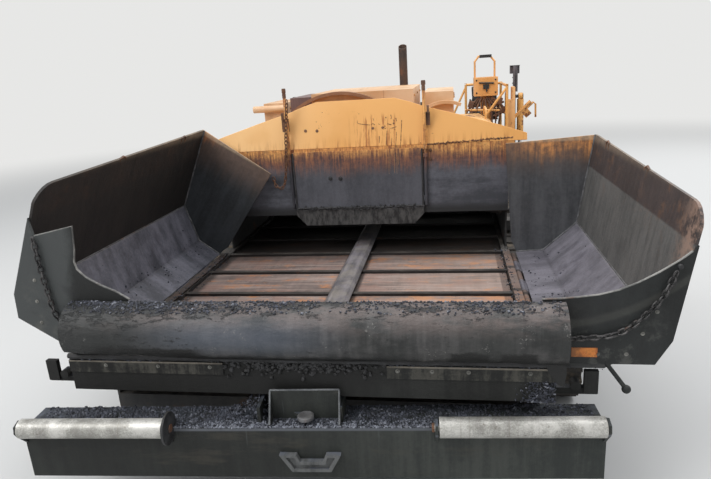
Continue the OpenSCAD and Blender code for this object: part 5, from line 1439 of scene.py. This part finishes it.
def cover_fittings():
    """Fuel cap and air cleaner behind the boxes, lifting eyes and grab bars."""
    kit = Kit()
    kit.disc((-0.55, 0.62, 1.455), (0, 0, 1), 0.060, 0.050, 24)
    kit.disc((-0.55, 0.62, 1.503), (0, 0, 1), 0.048, 0.022, 10)
    x, y = -0.22, 0.56
    kit.sweep([(x, y, 1.455), (x, y, 1.62), (x, y, 1.66)], [0.075, 0.075, 0.060], 22)
    kit.disc((x, y, 1.66), (0, 0, 1), 0.090, 0.045, 24)
    for z in (1.50, 1.60):
        kit.sweep([(x, y, z), (x, y, z + 0.016)], 0.080, 22)
    kit.done("cover_fittings", "machine", BLACK)
    kit = Kit()
    for x, y in ((-0.62, 0.50), (0.30, 0.72)):
        eye = [(-0.045, 1.452), (-0.040, 1.500), (0, 1.524), (0.040, 1.500), (0.045, 1.452)]
        kit.sweep([(x + dx, y, z) for dx, z in eye], 0.011, 10)
    # Two strips that lie hidden inside the boxes
    for x in (-0.441, 0.366):
        kit.box((x, -0.4506, 1.600), (0.004, 0.012, 0.20))
    for s in (-1, 1):
        bar = [(0.40, 1.44), (0.40, 1.50), (0.44, 1.53), (0.66, 1.53), (0.70, 1.50), (0.70, 1.44)]
        kit.sweep(smooth_line([(s * 0.98, y, z) for y, z in bar], 0.02), 0.010, 10)
    kit.done("cover_grab_bars", "machine", YELLOW)


def engine_details():
    """Rocker covers, pipes, filters and the fan of the engine, and the fins behind the grille."""
    kit = Kit()
    for y in (-0.42, -0.20, 0.02, 0.24, 0.46):
        kit.box((0.0, y, 1.404), (0.22, 0.16, 0.014))
    for s in (-1, 1):
        for i in range(5):
            y = -0.42 + 0.22 * i
            kit.sweep(smooth_line([(s * 0.421, y, 1.12), (s * 0.455, y, 1.16), (s * 0.455, y + 0.03, 1.28),
                                   (s * 0.421, y + 0.04, 1.33)], 0.03), 0.016, 8)
        kit.sweep([(s * 0.46, -0.55, 1.20), (s * 0.46, 0.58, 1.20)], 0.022, 12)
        for y in (-0.30, 0.10, 0.45):
            kit.disc((s * 0.421, y, 1.06), (s, 0, 0), 0.055, 0.090, 18)
    kit.sweep([(0.0, -0.60, 1.20), (0.0, -0.66, 1.20)], 0.060, 18)
    for k in range(7):
        turn = Matrix.Rotation(2 * math.pi * k / 7, 3, "Y")
        middle = Vector((0, -0.68, 1.20)) + turn @ Vector((0.080, 0, 0))
        kit.box(middle, (0.110, 0.004, 0.046), turn @ Matrix.Rotation(0.5, 3, "Z"))
    kit.done("engine_parts", "machine", ENGINE_DARK)
    kit = Kit()
    for i in range(60):
        kit.box((-0.575 + 1.15 * i / 59, -0.972, 1.290), (0.003, 0.004, 0.150))
    kit.box((0, -0.964, 1.290), (1.17, 0.004, 0.150))
    kit.done("radiator_fins", "machine", BLACK, 0)


def exhaust_clamps():
    """Band clamps with their bolts on the tail pipe, and plain bands round the silencer."""
    kit = Kit()
    x, y = 0.237, 0.423
    for z in (1.590, 1.640):
        kit.sweep([(x, y, z), (x, y, z + 0.018)], 0.0425, 24)
        kit.box((x + 0.0455, y, z + 0.009), (0.016, 0.020, 0.022))
    for z in (1.470, 1.560):
        kit.sweep([(x, y, z), (x, y, z + 0.020)], 0.0725, 28)
    kit.done("exhaust_clamps", "machine", RUSTY)


def deck_trim():
    """Cross rail under the control box and the folded arm that leans out on the right."""
    kit = Kit()
    rail_y, rail_py = 0.99, 110.2
    kit.sweep([seen(px, rail_py, rail_y) for px in (465, 470, 478, 486, 493, 499.5)], 0.010, 10)
    kit.done("deck_cross_rail", "machine", YELLOW)
    kit = Kit()
    arm_y = 1.20
    foot, tip, elbow, hand = (508.5, 123), (530.5, 101), (535.5, 104), (535.5, 117)
    low, high = seen(*foot, arm_y), seen(*tip, arm_y)
    kit.sweep([low.lerp(high, k / 8) for k in range(9)], 0.017, 12)
    kit.sweep([low.lerp(high, 0.45) + Vector((0.035, 0, 0)), high + Vector((0.030, 0, -0.010)),
               seen(*elbow, arm_y), seen(*hand, arm_y)], 0.010, 10)
    middle = low.lerp(high, 0.62) + Vector((0.040, 0, -0.030))
    kit.box(middle, (0.070, 0.018, 0.090), Matrix.Rotation(-0.7, 3, "Y"))
    kit.done("folded_arm", "machine", DIRTY_YELLOW)


def lamp_details():
    """Lens, visor, bolts and cable of the work lamp on its post."""
    kit = Kit()
    x, lens_z = 1.355, 1.840
    kit.sweep([(x, 1.688, lens_z), (x, 1.692, lens_z)], 0.029, 24)
    kit.done("lamp_lens", "machine", LENS["clear"])
    kit = Kit()
    kit.box((x, 1.640, 1.884), (0.104, 0.060, 0.006))
    for z in (1.64, 1.70, 1.76):
        kit.bolt((1.3348, 1.60, z), (-1, 0, 0), 0.007)
    cable = [(1.358, 1.568, 1.62), (1.358, 1.566, 1.72), (1.362, 1.574, 1.80), (1.360, 1.622, 1.83)]
    kit.sweep(smooth_line(cable, 0.03), 0.005, 6)
    kit.done("lamp_fittings", "machine", BLACK)


def track_details():
    """Bolts and caps of the track frames' wheels, and the tensioner behind the idler."""
    corner = math.radians(45)
    roller_z, idler_y, idler_z, sprocket_y, sprocket_z = 0.150, -1.900, 0.270, 1.180, 0.327
    for side, s in SIDES.items():
        kit = Kit()
        for x, out in ((1.142, -s), (1.298, s)):
            for i in range(5):
                place = (s * x, -1.500 + 0.4 * i, roller_z)
                kit.disc(place, (out, 0, 0), 0.034, 0.010, 18)
                kit.bolt_circle(place, (out, 0, 0), 0.052, 4, 0.007, corner)
        for x, y, z, r, count in ((1.250, idler_y, idler_z, 0.110, 8),
                                  (1.2755, sprocket_y, sprocket_z, 0.150, 12)):
            kit.disc((s * x, y, z), (s, 0, 0), 0.062, 0.020, 24)
            kit.bolt_circle((s * x, y, z), (s, 0, 0), r, count, 0.010)
        for y0, y1, r, n in ((-1.66, -1.30, 0.036, 20), (-1.80, -1.60, 0.024, 16)):
            kit.sweep([(s * 1.220, y0, idler_z), (s * 1.220, y1, idler_z)], r, n)
        kit.done("track_frame_bolts_" + side, "machine", DARK)


def frame_bolts():
    """Bolts on the frame's sides and rear wall and by the beam's pin, and caps on the tow arms' pins."""
    kit = Kit()
    tie_holes = (-2.48, 1.62)
    for s in (-1, 1):
        for y in [-2.62 + 0.26 * i for i in range(17)]:
            if min(abs(y - hole) for hole in tie_holes) > 0.07:
                kit.bolt((s * 1.052, y, 0.500), (s, 0, 0), 0.010)
        for y in (-0.46, -0.38):
            for z in (0.635, 0.685):
                kit.bolt((s * 1.3872, y, z), (s, 0, 0), 0.008)
        kit.disc((s * 1.4552, -0.420, 0.660), (s, 0, 0), 0.023, 0.006, 20)
        for y in (-1.150, 0.500):
            kit.bolt_circle((s * 1.0525, y, 0.330), (s, 0, 0), 0.075, 6, 0.008)
    for k in range(4):
        a = math.radians(45 + 90 * k)
        kit.bolt((0.058 * math.cos(a), BEAM_PIN_Y + 0.010 * math.sin(a), 0.4555), (0, 0, 1), 0.007)
    kit.done("frame_bolts", "machine", DARK)
    kit = Kit()
    for x in (-1.0, -0.86, -0.42, -0.30, 0.30, 0.42, 0.86, 1.0):
        for z in (1.06, 0.37):
            kit.bolt((x, REAR_Y, z), (0, 1, 0), 0.009)
    for x in (-0.052, 0.052):
        for z in (0.50, 0.58, 0.66, 0.74):
            kit.bolt((x, 2.010, z), (0, 1, 0), 0.008)
    kit.done("rear_bolts", "machine", DARK)


def hydraulic_pipes():
    """Rigid pipes down the rear wall to the auger drive, and down the lift posts."""
    kit = Kit()
    for x in (-0.052, -0.026, 0.026, 0.052):
        kit.sweep(smooth_line([(x * 3.2, 1.722, 1.10), (x * 3.0, 1.724, 0.98), (x * 1.6, 1.726, 0.86),
                               (x, 1.745, 0.80), (x, 1.83, 0.775), (x, 1.86, 0.765)], 0.02), 0.009, 8)
        kit.disc((x, 1.86, 0.757), (0, 0, 1), 0.015, 0.018, 6)
    for s in (-1, 1):
        for line in ([(1.585, 1.58), (1.52, 1.50), (1.515, 1.20), (1.515, 1.10)],
                     [(1.60, 1.61), (1.675, 1.55), (1.685, 1.20), (1.685, 1.10)]):
            kit.sweep(smooth_line([(s * 1.262, y, z) for y, z in line], 0.03), 0.008, 8)
    kit.done("hydraulic_pipes", "machine", CHAIN)


def tail_lamps():
    """Housings and lenses of the tail lamps and indicators."""
    kit = Kit()
    for s in (-1, 1):
        kit.box((s * 1.10, 1.7668, 1.100), (0.120, 0.014, 0.050))
    kit.done("tail_lamp_housings", "machine", BLACK)
    for name, x, lens in (("tail_lenses", 1.125, "red"), ("indicator_lenses", 1.075, "amber")):
        kit = Kit()
        for s in (-1, 1):
            kit.disc((s * x, 1.7735, 1.100), (0, 1, 0), 0.020, 0.008, 18)
        kit.done(name, "machine", LENS[lens])


def tread_bars():
    """Tread bars on the deck and the boarding steps."""
    kit = Kit()
    for i in range(17):
        kit.box((0, 0.94 + 0.048 * i, 1.1320), (1.60, 0.008, 0.004))
    for s in (-1, 1):
        for z in (0.830, 0.990):
            for i in range(4):
                kit.box((s * 0.706, 1.724 + 0.020 * i, z + 0.0015), (0.262, 0.006, 0.004))
    kit.done("tread_bars", "machine", STEPS, 0)


def screed_details():
    """Walkway treads, bolts, heater pipes and the crown's gear case on the screed."""
    kit = Kit()
    for i in range(44):
        kit.box((-1.19 + 2.38 * i / 43, 2.9450, 0.6795), (0.008, 0.410, 0.004))
    kit.done("walkway_tread", "screed", STEPS, 0)
    kit = Kit()
    for x in [-1.15 + 0.23 * i for i in range(11)]:
        kit.bolt((x, 2.2095, 0.28), (0, -1, 0), 0.010)
        kit.bolt((x, 2.2095, 0.20), (0, -1, 0), 0.010)
        kit.bolt((x, 2.36, 0.5405), (0, 0, 1), 0.010)
    for s in (-1, 1):
        for y in (2.30, 2.36, 2.63, 2.69):
            for z in (0.36, 0.44):
                kit.bolt((s * 1.4355, y, z), (s, 0, 0), 0.011)
    kit.done("screed_bolts", "screed", DARK)
    kit = Kit()
    pipe_z = 0.556
    for y in (2.40, 2.44):
        kit.sweep([(-1.16, y, pipe_z), (1.16, y, pipe_z)], 0.011, 10)
    for x in (-0.9, -0.3, 0.3, 0.9):
        kit.box((x, 2.42, pipe_z), (0.030, 0.080, 0.026))
        kit.sweep([(x, 2.44, pipe_z), (x, 2.50, pipe_z), (x, 2.52, 0.544)], 0.009, 8)
    kit.done("heater_pipes", "screed", RUSTY)
    kit = Kit()
    crank_y, crank_z = 2.64, 0.585
    kit.box((0, 2.50, 0.575), (0.20, 0.16, 0.070))
    kit.sweep([(0, 2.58, crank_z), (0, crank_y, crank_z)], 0.016, 14)
    kit.disc((0, crank_y, crank_z), (0, 1, 0), 0.070, 0.014, 24)
    kit.done("crown_gear_case", "screed", DIRTY_YELLOW)


def extender_details():
    """End gate bolts and cranks, grab bar and control box of each extender."""
    for side, s in SIDES.items():
        body = "extender_" + side
        kit = Kit()
        for y in (2.30, 2.60, 2.90, 3.15):
            for z in (0.20, 0.34):
                kit.bolt((s * 1.6032, y, z), (s, 0, 0), 0.008)
        gate_x, grip_x = s * 1.594, s * 1.500
        for y in (2.34, 3.14):
            kit.sweep([(gate_x, y, 0.44), (gate_x, y, 0.640)], 0.012, 12)
            kit.sweep([(gate_x, y, 0.635), (s * 1.560, y, 0.650), (grip_x, y, 0.650)], 0.009, 8)
            kit.sweep([(grip_x, y, 0.645), (grip_x, y, 0.700)], 0.013, 12)
        for x in (0.30, 0.62, 0.94, 1.26, 1.52):
            kit.bolt((s * x, 3.200, 0.300), (0, 0.970, 0.243), 0.010)
        bar = [(0.70, 0.505), (0.70, 0.56), (0.74, 0.585), (1.00, 0.585), (1.04, 0.56), (1.04, 0.505)]
        kit.sweep(smooth_line([(s * x, 3.10, z) for x, z in bar], 0.02), 0.010, 10)
        kit.done("extender_fittings_" + side, body, DARK)
        kit = Kit()
        kit.box((s * 1.38, 2.98, 0.535), (0.22, 0.16, 0.075))
        for k in range(4):
            kit.disc((s * (1.32 + 0.04 * k), 3.02, 0.5725), (0, 0, 1), 0.009, 0.016, 10)
        kit.done("extender_control_box_" + side, body, DIRTY_YELLOW)


def linkage_details():
    """Pin caps and ports of the screed's lift cylinders, with a pipe between the ports."""
    for side, s in SIDES.items():
        kit = Kit()
        x = s * LIFT_X
        kit.disc((x + s * 0.0235, 1.600, 1.560), (s, 0, 0), 0.030, 0.006, 20)
        for port, end in ((1.500, 1.440), (1.190, 1.250)):
            kit.sweep([(x, 1.640, port), (x, 1.652, port), (x, 1.656, end)], [0.012, 0.012, 0.009], 10)
        kit.sweep([(x, 1.652, 1.20), (x, 1.652, 1.49)], 0.008, 8)
        kit.done("lift_cylinder_ports_" + side, "lift_barrel_" + side, BLACK)


def beam_details():
    """Nuts of the rollers' shafts, bolts on the beam and the left roller's larger flange."""
    kit = Kit()
    for s in (-1, 1):
        for x, out in ((0.5615, -1), (1.2382, 1)):
            end = beam_point(s * x, ROLLER_Y, ROLLER_Z)
            kit.disc(end, beam_point(s * (x + out), ROLLER_Y, ROLLER_Z) - end, 0.019, 0.010, 6)
    for x in (-0.60, -0.30, 0.30, 0.60):
        kit.bolt(beam_point(x, -2.9748, 0.40), (0, 1, 0), 0.011)
    kit.done("roller_nuts", "push_beam", RUSTY)
    kit = Kit()
    a, b = beam_point(-0.5735, ROLLER_Y, ROLLER_Z), beam_point(-0.5555, ROLLER_Y, ROLLER_Z)
    kit.sweep([a, a.lerp(b, 0.3), a.lerp(b, 0.8), b], [0.058, 0.070, 0.070, 0.056], 26)
    kit.done("roller_flange", "push_beam", TAR)


def tar_and_shade_under_apron():
    """A dark filler along the slit under the apron, standing in for the slit's shade, and old asphalt that
    hangs from it in the middle.
    """
    rng = random.Random(47)
    kit = Kit()
    # Painted shade: a dark bar in the tar's colour fills the slit where it lies in shadow
    line = [-1.062 + 0.018 * i for i in range(119)]
    kit.sweep([(x, -3.054, 0.7870 + 0.002 * noise.noise(Vector((x * 8, 1, 0)))) for x in line],
              [0.0120 + rng.uniform(0, 0.003) for _ in line], 8)
    for _ in range(300):
        x = rng.gauss(-0.02, 0.20)
        if -0.33 < x < 0.39:
            z = 0.776 - abs(rng.gauss(0, 0.028))
            kit.lump((x, -3.046 - 0.004 * rng.random(), z), rng.uniform(0.005, 0.013), rng)
    kit.done("tar_and_painted_shade_under_apron", "machine", TAR, 0)


def beam_bracket():
    """The upright plate of the beam's bracket with its sloping side plates, as the photo shows it."""
    foot_z, top_z, plate_y, toe_y = 0.516, 0.657, -3.074, -3.140
    ends = (-0.1325, 0.1675)
    kit = Kit()
    kit.box(beam_point(0.0175, -3.076, 0.5865), (0.300, 0.008, 0.141), Matrix.Rotation(BEAM_TURN, 3, "Z"))
    for x in ends:
        side = [beam_point(x + dx, y, z) for dx in (-0.004, 0.004)
                for y, z in ((plate_y, top_z), (plate_y, foot_z), (toe_y, foot_z), (toe_y, foot_z + 0.010))]
        kit.solid(side, [(0, 1, 2, 3), (7, 6, 5, 4), (0, 4, 5, 1), (1, 5, 6, 2), (2, 6, 7, 3), (3, 7, 4, 0)])
    kit.done("beam_bracket_plates", "push_beam", NODES["push_beam"].data.materials[0], 0)
    kit = Kit()
    edge = [beam_point(ends[0], toe_y, 0.528), beam_point(ends[0], -3.077, top_z),
            beam_point(ends[1], -3.077, top_z), beam_point(ends[1], toe_y, 0.528)]
    for a, b in zip(edge, edge[1:]):
        kit.sweep([a.lerp(b, k / 6) for k in range(7)], 0.0042, 8)
    kit.done("beam_bracket_edges", "push_beam", LIP)
    kit = Kit()
    kit.disc(beam_point(0.020, -3.108, 0.540), (0, 0, 1), 0.036, 0.016, 20)
    kit.done("beam_pin_cap", "push_beam", WELD)


def strip_bolts():
    """Bolts of the nose's clamping strip."""
    kit = Kit()
    for x in (-0.887, -0.634, -0.390, 0.435, 0.577, 0.725, 0.968):
        kit.bolt((x, -3.052, 0.742), (0, -1, 0), 0.006)
    kit.done("strip_bolts", "machine", GALV)


control_box_fittings()
station_levers()
console_levers()
steering_wheel()
rail_feet()
seats()
door_details()
cover_bolts()
cover_fittings()
engine_details()
exhaust_clamps()
lamp_details()
deck_trim()
tar_and_shade_under_apron()
track_details()
frame_bolts()
hydraulic_pipes()
tail_lamps()
tread_bars()
screed_details()
extender_details()
linkage_details()
beam_details()
beam_bracket()
strip_bolts()
for side in SIDES:
    wing_trim(side)
strip_decal()
rigging()
gate_trim()
hood_marks()
spread_crumbs()
for node in ("bulkhead_hood", "flow_gate", "push_beam", "conveyor_divider", "cover_boxes", "operator_console",
             "engine_cover", "operator_deck", "bulkhead", "screed_body", "work_lamp"):
    soften(node)
for side in SIDES:
    for node in ("wing_rear_", "wing_front_", "engine_door_", "tow_arm_", "extender_"):
        soften(node + side)


make_camera()
make_stage()
